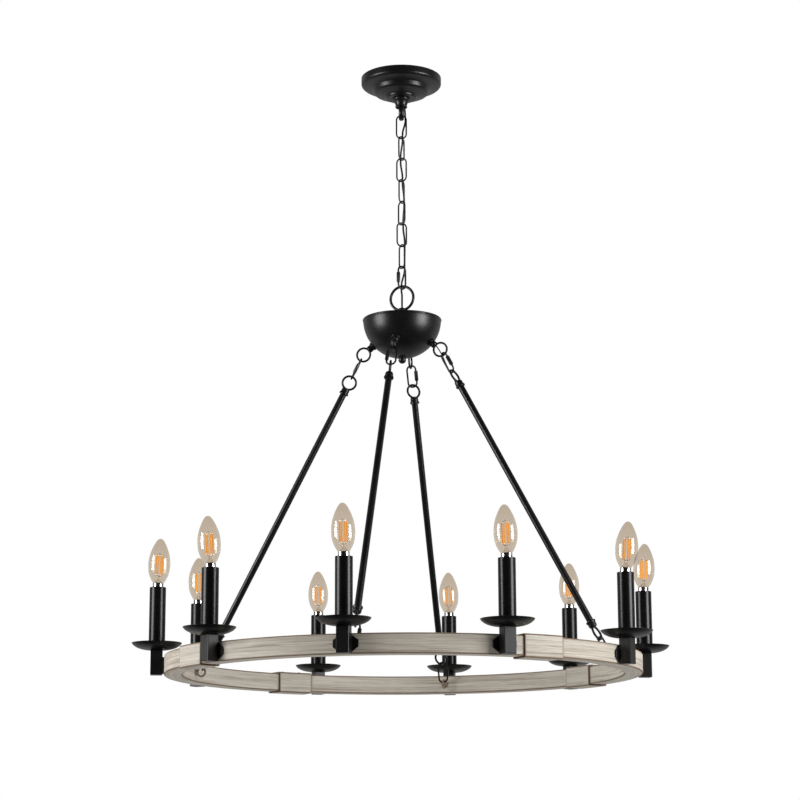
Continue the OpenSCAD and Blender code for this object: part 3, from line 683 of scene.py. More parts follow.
def filament_coat(name):
    """Amber phosphor on LED strips, with a faint row of chips under it and a painted amber glow.
    """
    n = Nodes(name)
    at = n.place()
    row = n.noise(n.stretch(at, 1, 1, 2.2), 520.0, detail=1.0)
    colour = n.ramp(row, ((0.35, (0.80, 0.33, 0.03)), (0.65, (0.92, 0.47, 0.06))))
    # Painted glow: the strips give off a faint amber light of their own
    return n.coat({
        "Base Color": colour, "Roughness": 0.45, "Emission Color": (1.0, 0.42, 0.03, 1.0),
        "Emission Strength": 0.6, "Normal": n.bump(row, 0.2, 0.0003)})


def cord_cover(name):
    """Extruded black cord, with the slight lay of the wires that it holds."""
    n = Nodes(name)
    at = n.place()
    lay = n.noise(n.stretch(at, 1, 1, 0.35), 700.0, detail=2.0)
    return n.coat({
        "Base Color": n.ramp(lay, ((0.3, (0.006, 0.006, 0.0065)), (0.7, (0.013, 0.013, 0.0135)))),
        "Roughness": n.level(lay, 0.2, 0.8, 0.40, 0.55),
        "Normal": n.bump(lay, 0.15, 0.0003)})


BLACK = satin_paint("satin_black_paint", (0.0042, 0.0042, 0.0044), (0.0078, 0.0078, 0.0080),
                    0.34, 0.012)
CANDLE_BLACK = satin_paint("candle_black_sleeve", (0.0036, 0.0036, 0.0038),
                           (0.0062, 0.0062, 0.0064), 0.26, 0.0, 0.25)
NUT_BLACK = satin_paint("black_oxide_nuts", (0.008, 0.008, 0.0083), (0.016, 0.016, 0.0165),
                        0.38, 0.08)
STEEL = bare_metal("zinc_plated_steel", (0.55, 0.56, 0.57), (0.74, 0.75, 0.76), 0.32)
BRASS = bare_metal("threaded_brass", (0.62, 0.45, 0.19), (0.78, 0.60, 0.29), 0.30)
CHROME = bare_metal("bulb_plated_metal", (0.60, 0.60, 0.60), (0.74, 0.74, 0.74), 0.16)
WOOD = wood_paint("whitewashed_wood_paint")
SOCKET = moulded_plastic("black_socket_plastic", (0.012, 0.012, 0.012),
                         (0.022, 0.022, 0.022), 0.42)
GLASS = tinted_glass("amber_bulb_glass", (0.775, 0.715, 0.645), (0.87, 0.83, 0.73),
                     (0.745, 0.675, 0.595), 0.055)
STEM_GLASS = tinted_glass("clear_stem_glass", (0.93, 0.91, 0.87), (0.62, 0.58, 0.52),
                          (0.92, 0.90, 0.86), 0.04)
FILAMENT = filament_coat("amber_led_filament")
CORD = cord_cover("black_cord_cover")


def make_black(name, shape, body, stands_for, sharp_deg=SHARP_DEG):
    return make(name, shape, BLACK, body, stands_for, sharp_deg)


# ---- Canopy ----

canopy_line = eased([
    (CANOPY_R, 0, 0), (CANOPY_R, -11.4, 1.8), (CANOPY_R - 2.6, -14.4, 2.2), (51.5, -17.2, 1.8),
    (47.8, -18.6, 1.6), (47.0, -23.4, 2.2), (44.4, -27.4, 2.4), (28.6, -31.4, 1.6),
    (26.2, -32.6, 1.0), (25.0, -CANOPY_H, 1.6), (STEM_R + 0.2, -CANOPY_H, 0)], steps=6)
canopy_inner = eased([
    (STEM_R + 0.2, -CANOPY_H + 1.2, 0), (24.2, -CANOPY_H + 1.2, 0.8), (25.2, -31.0, 0.8),
    (43.6, -26.0, 1.4), (45.8, -18.2, 1.2), (64.2, -13.0, 1.2), (CANOPY_R - 1.2, -10.8, 1.0),
    (CANOPY_R - 1.2, 0, 0)], steps=3)
make_black("canopy_shell", Shape().add(lathe(canopy_line + canopy_inner, 128, closed=True)),
           "root", ["canopy"], sharp_deg=50)

collar_line = eased([
    (STEM_R + 0.1, 0, 0), (COLLAR_TOP_R, 0, 0.5), (COLLAR_TOP_R, -2.4, 0.9),
    (COLLAR_TOP_R - 1.2, -4.0, 1.2), (COLLAR_LOW_R + 2.0, -6.8, 1.8),
    (COLLAR_LOW_R + 0.4, -11.0, 1.6), (COLLAR_LOW_R, -13.0, 0.4),
    (COLLAR_LOW_R + 0.8, -13.4, 0.3), (COLLAR_LOW_R + 0.8, -COLLAR_H + 0.7, 0.4),
    (COLLAR_LOW_R, -COLLAR_H, 0.3), (STEM_R + 0.1, -COLLAR_H, 0)])
make_black("canopy_collar_turned", Shape().add(lathe(collar_line, 64, closed=True),
           lift(-CANOPY_H)), "root", ["canopy_collar"])

loop = Shape()
loop_reach = LOOP_R - LOOP_BAR / 2
shoulder_z = -CANOPY_H - COLLAR_H - 0.3
loop_points, loop_faces = sweep(
    [(0, loop_reach * math.sin(a), loop_reach * math.cos(a))
     for a in np.linspace(0, math.tau, 72, endpoint=False)],
    [(LOOP_W / 2 * math.cos(a), LOOP_BAR / 2 * math.sin(a))
     for a in np.linspace(0, math.tau, 24, endpoint=False)], closed=True, up=(1, 0, 0))
narrowed = []
for x, y, z in loop_points:
    over = z + LOOP_Z > shoulder_z
    k = min(1.0, (STEM_R - 0.1) / max(math.hypot(x, y), 0.1)) if over else 1.0
    narrowed.append((x * k, y * k, z))
loop.add((narrowed, loop_faces), lift(LOOP_Z))
loop.add(lathe(eased([(0, -CANOPY_H + 12, 0), (STEM_R, -CANOPY_H + 12, 0.6),
                      (STEM_R, LOOP_Z + LOOP_R - 2.4, 1.2), (4.0, LOOP_Z + LOOP_R - 3, 1.2),
                      (0, LOOP_Z + LOOP_R - 3, 0)]), 48))
make_black("canopy_loop_cast", loop, "root", ["canopy_loop"])

# ---- Chain ----

for i in range(LINKS):
    make_black(f"chain_link_welded_{i + 1}",
               Shape().add(chain_oval(LINK_INNER + 2 * LINK_WIRE, LINK_W, LINK_WIRE),
                           lift(LINK_Z[i]) @ turn("Z", LINK_YAW[i])),
               "chain", [f"chain_link_{i + 1}"])

chain_quick_place = lift(CHAIN_QUICK_Z) @ turn("Z", CHAIN_QUICK_YAW)
make_black("chain_quick_link_wire",
           Shape().add(quick_oval(CHAIN_QUICK_L, CHAIN_QUICK_W, -1), chain_quick_place),
           "quick_link", ["chain_quick_link"])
make("chain_quick_link_nut", Shape().add(quick_nut(CHAIN_QUICK_W, -1), chain_quick_place),
     NUT_BLACK, "quick_link", ["chain_quick_nut"])

# ---- Hub ----

ring = Shape()
ring.add(wire_ring(HUB_RING_R, HUB_RING_WIRE, 96, 20),
         lift(HUB_RING_Z) @ turn("Z", HUB_RING_YAW))
ring.add(lathe(eased([(CORD_BORE_R, HUB_RIM_Z + COVER_T, 0), (NECK_R, HUB_RIM_Z + COVER_T, 0),
                      (NECK_R, NECK_TOP_Z - 1.5, 1.5), (CORD_BORE_R, NECK_TOP_Z, 0.6)]), 48,
               closed=True))
make_black("hub_ring_forged", ring, "chandelier", ["hub_ring"])

check = eased([(NECK_R + 0.1, 0, 0), (CHECK_RING_R, 0, 0.5), (CHECK_RING_R, CHECK_RING_H, 1.1),
               (NECK_R + 0.1, CHECK_RING_H, 0.3)])
make_black("hub_check_ring_turned",
           Shape().add(lathe(check, 64, closed=True), lift(HUB_RIM_Z + COVER_T)),
           "chandelier", ["hub_check_ring"])

cover = eased([(STEM_BORE_R, 0, 0), (HUB_R - 0.3, 0, 0.3), (HUB_R - 0.3, COVER_T, 0.6),
               (58.0, COVER_T, 2.0), (STEM_BORE_R, COVER_T, 0)])
make_black("hub_cover_plate", Shape().add(lathe(cover, 128, closed=True), lift(HUB_RIM_Z)),
           "chandelier", ["hub_cover"])

bowl_bottom = math.degrees(math.asin(STEM_BORE_R / HUB_R))
bowl_line = [(HUB_R * math.sin(a), -HUB_R * math.cos(a))
             for a in np.radians(np.linspace(bowl_bottom, 86.5, 46))]
bowl_line += eased([(HUB_R - 0.1, -2.6, 0), (HUB_R + 0.8, -1.7, 0.5), (HUB_R + 0.8, -0.4, 0.4),
                    (HUB_R + 0.3, 0, 0.3), (HUB_R - 0.7, 0, 0.2)], steps=3)
bowl_inner_r = HUB_R - HUB_WALL
bowl_line += [(bowl_inner_r * math.sin(a), -bowl_inner_r * math.cos(a))
              for a in np.radians(np.linspace(88.5, bowl_bottom + 0.3, 28))]
make_black("hub_bowl_spun", Shape().add(lathe(bowl_line, 160, closed=True), lift(HUB_RIM_Z)),
           "chandelier", ["hub_bowl"], sharp_deg=40)

finial_line = [(0.0, -FINIAL_BAND - FINIAL_R)]
finial_line += [(FINIAL_R * math.sin(a), -FINIAL_BAND - FINIAL_R * math.cos(a))
                for a in np.radians(np.linspace(6, 84, 16))]
finial_line += eased([(FINIAL_R, -FINIAL_BAND + 0.4, 0), (FINIAL_R - 0.7, -1.9, 0.3),
                      (FINIAL_R - 0.7, -1.3, 0.3), (FINIAL_R, -0.9, 0.3),
                      (FINIAL_R, 0.1, 0.3), (STEM_BORE_R, 0.3, 0)])
make_black("hub_finial_turned", Shape().add(lathe(finial_line, 48), lift(HUB_RIM_Z - HUB_R)),
           "chandelier", ["hub_finial"])

eyes = Shape()
stub_low = -EYE_REACH + EYE_R - 2.5
for k in range(RODS):
    eyes.add(lathe(eased([(0, -HUB_R + 7, 0), (EYE_SHANK_R, -HUB_R + 7, 0),
                          (EYE_SHANK_R, -HUB_R + 0.6, 0), (EYE_FLANGE_R, -HUB_R + 0.6, 0.3),
                          (EYE_FLANGE_R, -HUB_R - EYE_FLANGE_T, 0.8),
                          (EYE_STUB_R - 0.5, -HUB_R - EYE_FLANGE_T - 0.4, 0.5),
                          (EYE_STUB_R, -HUB_R - EYE_FLANGE_T - 2.0, 0.8),
                          (EYE_STUB_R, stub_low + 1.5, 1.4), (3.2, stub_low - 0.4, 0.8),
                          (0, stub_low - 0.4, 0)]), 48), at_hub_eye(k))
    eyes.add(wire_ring(EYE_R, EYE_WIRE),
             at_hub_eye(k) @ lift(-EYE_REACH) @ turn("Z", 90))
make_black("hub_eyes_forged", eyes, "chandelier", ["hub_eyes"])

# ---- Rods ----

tubes, ends, quicks, nuts = Shape(), Shape(), Shape(), Shape()
rod_top = TOP_RING_S + FERRULE_S + ROD_BACK
rod_low = ROD_RUN - (LOW_RING_S + FERRULE_S + ROD_BACK)
rod_line = eased([(ROD_BORE_R, -rod_top, 0), (ROD_R, -rod_top, 0.3), (ROD_R, -rod_low, 0.3),
                  (ROD_BORE_R, -rod_low, 0)])
ferrule_line = eased([
    (0, 0, 0), (FERRULE_R - 2.2, 0, 0.8), (FERRULE_R - 0.2, -1.4, 1.2),
    (FERRULE_R, -FERRULE_L + 1.4, 0.8), (FERRULE_LIP_R - 0.3, -FERRULE_L - 0.1, 0.7),
    (FERRULE_LIP_R, -FERRULE_L - 1.2, 0.6),
    (FERRULE_LIP_R - 0.4, -FERRULE_L - FERRULE_LIP_L, 0.7),
    (ROD_R + 0.1, -FERRULE_L - FERRULE_LIP_L, 0), (ROD_R + 0.1, -FERRULE_FLOOR, 0),
    (0, -FERRULE_FLOOR, 0)])
for k in range(RODS):
    tubes.add(lathe(rod_line, 32, closed=True), from_hub_eye(k))
    rod_frames = ((from_hub_eye(k), TOP_RING_S, TOP_LINK_S, ROD_TURNS[k][0], NUT_SIDES[k][0]),
                  (from_wheel_eye(k), LOW_RING_S, LOW_LINK_S, ROD_TURNS[k][2], NUT_SIDES[k][1]))
    for place, ring_s, link_s, link_turn, side in rod_frames:
        ends.add(lathe(ferrule_line, 40), place @ lift(-ring_s - FERRULE_S))
        ends.add(wire_ring(ROD_RING_R, ROD_RING_WIRE),
                 place @ lift(-ring_s) @ turn("Z", ROD_TURNS[k][1]))
        link_place = place @ lift(-link_s) @ turn("Z", link_turn)
        quicks.add(quick_oval(QUICK_L, QUICK_W, side), link_place)
        nuts.add(quick_nut(QUICK_W, side), link_place)
make_black("rod_tubes", tubes, "chandelier", ["rods"])
make_black("rod_end_rings", ends, "chandelier", ["rod_ends"])
make_black("rod_quick_link_wires", quicks, "chandelier", ["rod_quick_links"])
make("rod_quick_link_nuts", nuts, NUT_BLACK, "chandelier", ["rod_quick_nuts"])

# ---- Wheel ----

EDGE_GLAZE = 2.6
# Painted shade on each tube fades out over this many degrees beyond a sleeve end
END_SHADE_DEG = 0.9
JOINT_HALF_DEG = 0.03
GRAIN_SHIFT = (530, 91, 57)


def square_section(low_r, high_r, half_h, corner, glaze_and_shade):
    """A square loop of (radius, height, rim) with rounded corners and glazed edges."""
    corners = ((high_r, -half_h), (high_r, half_h), (low_r, half_h), (low_r, -half_h))
    mid_r = (low_r + high_r) / 2
    loop_points = []
    for n, (r, z) in enumerate(corners):
        sr, sz = (1 if r > mid_r else -1), (1 if z > 0 else -1)
        centre = (r - sr * corner, z - sz * corner)
        start = math.degrees(math.atan2(-1, 1)) - 45 + 90 * n
        before, after = ((-sr, 0), (0, -sz)) if n % 2 == 0 else ((0, -sz), (-sr, 0))
        if glaze_and_shade:
            loop_points.append((r + before[0] * glaze_and_shade, z + before[1] * glaze_and_shade, 0.0))
        for s in range(4):
            a = math.radians(start + 30 * s)
            loop_points.append((centre[0] + corner * math.cos(a),
                                centre[1] + corner * math.sin(a), 1.0 if glaze_and_shade else 0.0))
        if glaze_and_shade:
            loop_points.append((r + after[0] * glaze_and_shade, z + after[1] * glaze_and_shade, 0.0))
    return loop_points


def matched(section):
    """A bare section with its points doubled, to go with those of a glazed one."""
    return [section[j] for n in range(4) for j in
            (4 * n, 4 * n, 4 * n + 1, 4 * n + 2, 4 * n + 3, 4 * n + 3)]


def bent(angles, outer, inner, end_rims, seed):
    """A bent square tube with open ends. Angles are in degrees from the front towards +X."""
    points, faces, grain, rim = [], [], [], []
    rows = len(angles)
    for section, turned in ((outer, 1), (inner, -1)):
        start = len(points)
        sides = len(section)
        for i, angle in enumerate(angles):
            a = math.radians(angle)
            for r, z, edge in section:
                points.append((r * math.sin(a), -r * math.cos(a), WHEEL_Z + z))
                grain.append(tuple((place + seed * step) * MM for place, step
                                   in zip((WHEEL_R * a, r, z), GRAIN_SHIFT)))
                # Inner walls take rim 1: painted shade inside the hollow tubes and sleeves
                rim.append(max(edge, end_rims[i]) if turned > 0 else 1.0)
        for i in range(rows - 1):
            for j in range(sides):
                m = (j + 1) % sides
                low, high = start + i * sides, start + (i + 1) * sides
                faces.append((low + j, low + m, high + m, high + j))
    sides = len(outer)
    inner_start = rows * sides
    for i in (0, rows - 1):
        for j in range(sides):
            m = (j + 1) % sides
            faces.append((i * sides + j, i * sides + m, inner_start + i * sides + m,
                          inner_start + i * sides + j))
    return (points, faces), grain, rim


def add_bent(shape, *facts):
    part, grain, rim = bent(*facts)
    return shape.add(part, None, grain=grain, rim=rim)


def steps_between(low, high, step):
    return list(np.linspace(low, high, max(2, int(round((high - low) / step)) + 1)))


tube_outer = square_section(WHEEL_R - RING_W, WHEEL_R, RING_H / 2, TUBE_CORNER, EDGE_GLAZE)
tube_inner = matched(square_section(WHEEL_R - RING_W + TUBE_WALL, WHEEL_R - TUBE_WALL,
                                    RING_H / 2 - TUBE_WALL, TUBE_CORNER / 2, 0))
ARC_NAMES = ("front", "right", "back", "left")
for k, arc_name in enumerate(ARC_NAMES):
    low, high = joint_angle(k) + JOINT_HALF_DEG, joint_angle(k + 1) - JOINT_HALF_DEG
    inside = SLEEVE_DEG / 2
    angles = ([low] + steps_between(low + inside - 0.9, low + inside + 0.5, 0.35)
              + steps_between(low + inside + 1.2, high - inside - 1.2, 1.0)
              + steps_between(high - inside - 0.5, high - inside + 0.9, 0.35) + [high])
    # Painted shade at the tube's ends, running out past the end of the sleeve
    end_rims = [max(0.0, 1 - max(0.0, min(a - low, high - a) - inside) / END_SHADE_DEG)
                for a in angles]
    make(f"wheel_tube_{arc_name}",
         add_bent(Shape(), angles, tube_outer, tube_inner, end_rims, k + 1),
         WOOD, "chandelier", [f"wheel_arc_{arc_name}"], sharp_deg=40)

grow = SLEEVE_GAP + TUBE_WALL
SNUG = 0.05
CRIMP_DEG = 0.5
# Painted shade at each sleeve's open end and, fainter, at its crimped end: the spans in degrees
# and the crimped end's strength
OPEN_SHADE_DEG, CRIMP_SHADE_DEG, CRIMP_SHADE = 0.55, 0.45, 0.75
sleeves = Shape()
sleeve_outer = square_section(WHEEL_R - RING_W - grow, WHEEL_R + grow, RING_H / 2 + grow,
                              SLEEVE_CORNER, EDGE_GLAZE)
sleeve_inner = matched(square_section(WHEEL_R - RING_W - SLEEVE_GAP, WHEEL_R + SLEEVE_GAP,
                                      RING_H / 2 + SLEEVE_GAP, 1.2, 0))
tube_snug = matched(square_section(WHEEL_R - RING_W - SNUG, WHEEL_R + SNUG, RING_H / 2 + SNUG,
                                   TUBE_CORNER, 0))
for k in range(RODS):
    low, high = joint_angle(k) - SLEEVE_DEG / 2, joint_angle(k) + SLEEVE_DEG / 2
    fixed_low = SLEEVE_FIXED_SIDE[k] < 0
    angles = [low, low + 0.12, low + 0.5] + steps_between(low + 1.2, high - 1.2, 0.8) + [
        high - 0.5, high - 0.12, high]
    open_end_shade = [max(0.0, 1 - (high - a if fixed_low else a - low) / OPEN_SHADE_DEG)
                  for a in angles]
    crimp_end_shade = [CRIMP_SHADE * max(0.0, 1 - (a - low if fixed_low else high - a)
                                     / CRIMP_SHADE_DEG) for a in angles]
    end_rims = [max(a, b) for a, b in zip(open_end_shade, crimp_end_shade)]
    add_bent(sleeves, angles, sleeve_outer, sleeve_inner, end_rims, k + 6)
    crimp = (low, low + CRIMP_DEG) if fixed_low else (high - CRIMP_DEG, high)
    # The crimp's band between sleeve and tube is all rim 1: painted shade in the gap
    add_bent(sleeves, list(crimp), sleeve_inner, tube_snug, [1.0, 1.0], k + 6)
make("wheel_sleeve_tubes", sleeves, WOOD, "chandelier", ["wheel_sleeves"],
     sharp_deg=40)

screws = Shape()
head_line = eased([(0, -7, 0), (1.9, -7, 0.4), (1.9, 0, 0), (SCREW_HEAD_R, 0, 0.1),
                   (SCREW_HEAD_R, 0.6, 0.5), (2.4, SCREW_HEAD_H - 0.1, 1.0),
                   (0, SCREW_HEAD_H, 0)])
for k in range(RODS):
    for side in (-1, 1):
        place = (turn("Z", joint_angle(k) + side * SCREW_STEP_DEG)
                 @ shift(0, -(WHEEL_R - RING_W / 2), WHEEL_Z + RING_H / 2 + grow)
                 @ turn("Z", 20 + 63 * k + 35 * side))
        points, faces = lathe(head_line, 48)
        dented = []
        for x, y, z in points:
            cross = min(abs(x), abs(y)) < 0.42 and max(abs(x), abs(y)) < 1.9 and z > 1.2
            dented.append((x, y, z - 0.9 if cross else z))
        screws.add((dented, faces), place)
make("sleeve_screw_heads", screws, NUT_BLACK, "chandelier", ["sleeve_screws"])

wheel_eyes = Shape()
wall_r = math.sqrt((WHEEL_R - RING_W) ** 2 - WHEEL_FLANGE_R ** 2) - 0.05
for k in range(RODS):
    ring_part = wire_ring(WHEEL_EYE_R, WHEEL_EYE_WIRE, 48, 14)
    stub_l = wall_r - WHEEL_EYE_AT - WHEEL_EYE_R + WHEEL_EYE_WIRE
    stub_part = lathe(eased([(0, -0.6, 0), (WHEEL_FLANGE_R - 0.2, -0.6, 0.2),
                             (WHEEL_FLANGE_R, 0.5, 0.4), (WHEEL_FLANGE_R - 0.6, 1.5, 0.6),
                             (3.6, 2.0, 0.8), (3.3, stub_l - 0.6, 0.8), (0, stub_l, 0)]), 32)
    stub_place = at_rod(k) @ shift(0, -wall_r, WHEEL_Z) @ turn("X", -90)
    ring_place = at_rod(k) @ shift(0, -WHEEL_EYE_AT, WHEEL_Z) @ turn("Z", 90)
    for part, place in ((ring_part, ring_place), (stub_part, stub_place)):
        grain = [tuple(Vector((p[2] * 0.2 + 40 * k, p[0], p[1])) * MM) for p in part[0]]
        wheel_eyes.add(part, place, grain=grain, rim=[0.95] * len(part[0]))
make("wheel_eye_rings", wheel_eyes, WOOD, "chandelier", ["wheel_eyes"])

# ---- Candles ----

plates, posts, pans, candles = Shape(), Shape(), Shape(), Shape()
half_w, half_h, cut_w, cut_h = PLATE_W / 2, PLATE_H / 2, 8.0, 5.0
octagon = ((half_w, -cut_h), (half_w, cut_h), (cut_w, half_h), (-cut_w, half_h),
           (-half_w, cut_h), (-half_w, -cut_h), (-cut_w, -half_h), (cut_w, -half_h))
post_low = -RING_H / 2
post_h = PAN_LIFT - post_low
pan_line = eased([
    (5.1, 0, 0), (0.38 * PAN_R, 0, 2), (0.6 * PAN_R, 0.12 * PAN_H, 3),
    (0.78 * PAN_R, 0.33 * PAN_H, 3), (0.9 * PAN_R, 0.58 * PAN_H, 2.5),
    (0.97 * PAN_R, 0.82 * PAN_H, 1.4), (PAN_R, PAN_H, 0.5),
    (PAN_R - PAN_T, PAN_H, 0.5), (0.97 * PAN_R - PAN_T, 0.82 * PAN_H + 0.2, 1.4),
    (0.9 * PAN_R - PAN_T, 0.58 * PAN_H + 0.5, 2.5),
    (0.78 * PAN_R - PAN_T, 0.33 * PAN_H + 0.8, 3), (0.6 * PAN_R - PAN_T, 0.12 * PAN_H + 1, 3),
    (0.38 * PAN_R - 1, PAN_T, 2), (5.1, PAN_T, 0)])
candle_in = CANDLE_R - CANDLE_WALL
candle_line = eased([
    (candle_in, TUBE_LOW, 0), (CANDLE_R, TUBE_LOW, 0.3), (CANDLE_R, TUBE_TOP, 0.7),
    (candle_in, TUBE_TOP, 0.5)])
post_part = eased_box(POST_W, POST_W, post_h, 0.9)
plate_part = eased_plate(octagon, PLATE_T, 0.45)
for i in range(1, CANDLES + 1):
    at = at_candle(i)
    plates.add(plate_part, at @ shift(0, POST_W / 2, 0))
    posts.add(post_part, at @ lift(post_low + post_h / 2))
    pans.add(lathe(pan_line, 96, closed=True), at @ lift(PAN_LIFT))
    candles.add(lathe(candle_line, 64, closed=True), at)
make_black("candle_plate_castings", plates, "chandelier", ["candle_plates"], sharp_deg=12)
make_black("candle_post_tubes", posts, "chandelier", ["candle_posts"], sharp_deg=12)
make_black("candle_pan_spinnings", pans, "chandelier", ["candle_pans"], sharp_deg=50)
make("candle_sleeve_tubes", candles, CANDLE_BLACK, "chandelier", ["candle_tubes"])

# ---- Bulbs ----

glass_outline = [(r * BULB_R, h * BULB_L) for r, h in GLASS_LINE]
glass_curve = [tuple(p) for p in smooth_line(glass_outline, 3)]
glass_curve = [(max(0.0, r), z) for r, z in glass_curve]
skirt_line = eased([
    (5.9, -16, 0), (5.9, -4.5, 0), (SKIRT_R, -3.7, 0.4), (SKIRT_R, SKIRT_UP - 2.4, 1.0),
    (SKIRT_R + 0.25, SKIRT_UP - 1.2, 0.5), (SKIRT_R - 0.3, SKIRT_UP, 0.6),
    (0.4 * SKIRT_R, SKIRT_UP, 0.4), (0, SKIRT_UP, 0)])
stem_line = eased([(0, 0.3, 0), (6.8, 0.3, 0.6), (3.4, 3.6, 2.4), (2.1, 8.2, 1.6),
                   (2.3, 11.0, 0.8), (0, 11.6, 0)])
# Lean of each bulb to the right and turn of its filaments, as it sits in its socket
BULB_LEAN = (-1.8, -2.0, 4.5, 3.2, 0.5, -0.5, -1.0, -0.5, 2.2, -3.8)
BULB_TURN = (0, 6, -10, 12, 8, -5, 10, -12, 14, -8)
FILAMENT_X = (-5.0, -2.2, 2.4, 5.2)
FILAMENT_Y = (1.1, -0.7, -0.7, 1.1)
FILAMENT_W = 2.0
FILAMENT_LOW, FILAMENT_HIGH = 14.0, 44.0
BRIDGE_Z = FILAMENT_HIGH + 1.3


def strand(path, radius):
    return sweep(path, disc(radius, 8))


for i in range(1, CANDLES + 1):
    body = f"bulb_{i}"
    at = (at_candle(i) @ lift(TUBE_TOP) @ turn("Z", -candle_angle(i))
          @ turn("Y", BULB_LEAN[i - 1]) @ turn("Z", BULB_TURN[i - 1]))
    in_glass = at @ lift(SKIRT_UP)
    part = lathe(glass_curve, 72)
    rise = [p[2] / BULB_L for p in part[0]]
    make(f"bulb_{i}_envelope", Shape().add(part, in_glass, rise=rise), GLASS, body,
         [f"bulb_glass_{i}"])
    stem_part = lathe(stem_line, 32)
    make(f"bulb_{i}_stem", Shape().add(stem_part, in_glass, rise=[0.0] * len(stem_part[0])),
         STEM_GLASS, body)
    strips, wires = Shape(), Shape()
    for x, y in zip(FILAMENT_X, FILAMENT_Y):
        strips.add(eased_box(FILAMENT_W, 1.0, FILAMENT_HIGH - FILAMENT_LOW, 0.35, 2),
                   in_glass @ shift(x, y, (FILAMENT_LOW + FILAMENT_HIGH) / 2))
        for end, reach in ((FILAMENT_LOW, -1.6), (FILAMENT_HIGH, 1.4)):
            wires.add(strand([(x, y, end - 0.3 * np.sign(reach)), (x, y, end + reach)], 0.4),
                      in_glass)
        wires.add(strand(smooth_line([(0.25 * x, 0.25 * y, 10.5), (0.5 * x, y * 0.5, 11.4),
                                     (x, y, FILAMENT_LOW - 1.3)], 4), 0.28), in_glass)
    for side in (-1, 1):
        wires.add(strand([(side * FILAMENT_X[3], FILAMENT_Y[3], BRIDGE_Z),
                         (side * FILAMENT_X[2], FILAMENT_Y[2], BRIDGE_Z)], 0.3), in_glass)
        wires.add(strand(smooth_line([(side * FILAMENT_X[2], FILAMENT_Y[2], BRIDGE_Z),
                                     (side * 1.4, 0, FILAMENT_HIGH + 3.2),
                                     (0, 0, FILAMENT_HIGH + 4.2)], 4), 0.25), in_glass)
    make(f"bulb_{i}_filaments", strips, FILAMENT, body)
    make(f"bulb_{i}_wires", wires, CHROME, body)
    make(f"bulb_{i}_skirt", Shape().add(lathe(skirt_line, 48), at), CHROME, body,
         [f"bulb_base_{i}"])

# ---- Lamp cord, one stretch for each pair of neighbours in the chain ----


def eased_share(t):
    return t * t * (3 - 2 * t)


cord_route = [(0, 0, -4), (0, 0, -CANOPY_H + 1)]
for drop in SLANT_DROPS:
    out = drop * math.tan(math.radians(CORD_SLANT)) / math.hypot(*CORD_AT[0])
    cord_route.append((out * CORD_AT[0][0], out * CORD_AT[0][1], SLANT_Z - drop))
for i in range(len(CORD_AT) - 1):
    top, bottom = CROSS_Z[i] - CORD_HOLD, CROSS_Z[i + 1] + CORD_HOLD
    for s in range(CORD_STEPS + 1):
        t = s / CORD_STEPS
        side = [a + (b - a) * eased_share(t) for a, b in zip(CORD_AT[i], CORD_AT[i + 1])]
        cord_route.append((side[0], side[1], top + (bottom - top) * t))
cord_route += [(CORD_AT[8][0], CORD_AT[8][1], CROSS_Z[8] - CORD_HOLD),
               (0, 2, NECK_TOP_Z + 22), (0, 0.2, NECK_TOP_Z + 8), (0, 0, NECK_TOP_Z),
               (0, 0, HUB_RIM_Z - 20)]
cord_curve = [tuple(p) for p in smooth_line(cord_route, 4)]

# One stretch for each bend, cut at CORD_CUTS; the stretches stay where they are, on no body
CORD_BENDS = (LOOP_Z - LOOP_R + LOOP_BAR / 2, LINK_Z[-1] - LINK_REACH,
              CHAIN_QUICK_Z - CHAIN_QUICK_REACH)
CORD_CUTS = (0, LINK_Z[3], CHAIN_QUICK_Z, HUB_RIM_Z - 30)
for n, bend_z in enumerate(CORD_BENDS):
    inside = [p for p in cord_curve if CORD_CUTS[n + 1] <= p[2] <= CORD_CUTS[n]]
    before = [p for p in cord_curve if p[2] > CORD_CUTS[n]]
    after = [p for p in cord_curve if p[2] < CORD_CUTS[n + 1]]
    cord = make(f"lamp_cord_{n + 1}",
                Shape().add(sweep(before[-1:] + inside + after[:1], disc(CORD_R, 20))), CORD,
                None, ["lamp_cord"], sharp_deg=60)
    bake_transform(cord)

# ---- Rod lead ----


def by_rod(x, y, s):
    c, n = math.cos(math.radians(ROD_LEAN)), math.sin(math.radians(ROD_LEAN))
    return (x, y * c - s * n - HUB_EYE_AT, HUB_EYE_Z - y * n - s * c)


def by_eye(x, s):
    a = math.radians(EYE_POLAR)
    return (x, -s * math.sin(a), HUB_RIM_Z - s * math.cos(a))


LEAD_ROD = 1
LEAD_SIDE = -3.1
LEAD_WALL_X = -12.0
LEAD_IN = 4.3
lead_turn = math.radians(ROD_TURNS[LEAD_ROD][1] + 90)
lead_x, lead_y = LEAD_IN * math.cos(lead_turn), LEAD_IN * math.sin(lead_turn)
top_in = TOP_RING_S + FERRULE_S
low_in = ROD_RUN - LOW_RING_S - FERRULE_S
upper_lead = [by_eye(LEAD_SIDE, s) for s in (66, 74, 80)]
upper_lead += [by_rod(*place) for place in (
    (LEAD_SIDE, 1.4, 5), (LEAD_SIDE, 1.4, 13), (-2.2, 2.9, 26), (-0.5, 3.8, 39), (-0.4, 3.9, 47),
    (1, 4, 56), (lead_x, lead_y, top_in - 3), (lead_x, lead_y, top_in + 3),
    (0.8, 1.7, top_in + 8))]
lower_lead = [by_rod(*place) for place in (
    (0.8, 1.7, low_in - 8), (lead_x, lead_y, low_in - 3), (lead_x, lead_y, low_in + 3),
    (1, 4, low_in + 10), (-0.4, 3.9, ROD_RUN - 45), (-0.5, 3.8, ROD_RUN - 35),
    (-3, 3, ROD_RUN - 22), (-6, 1.8, ROD_RUN - 8))]
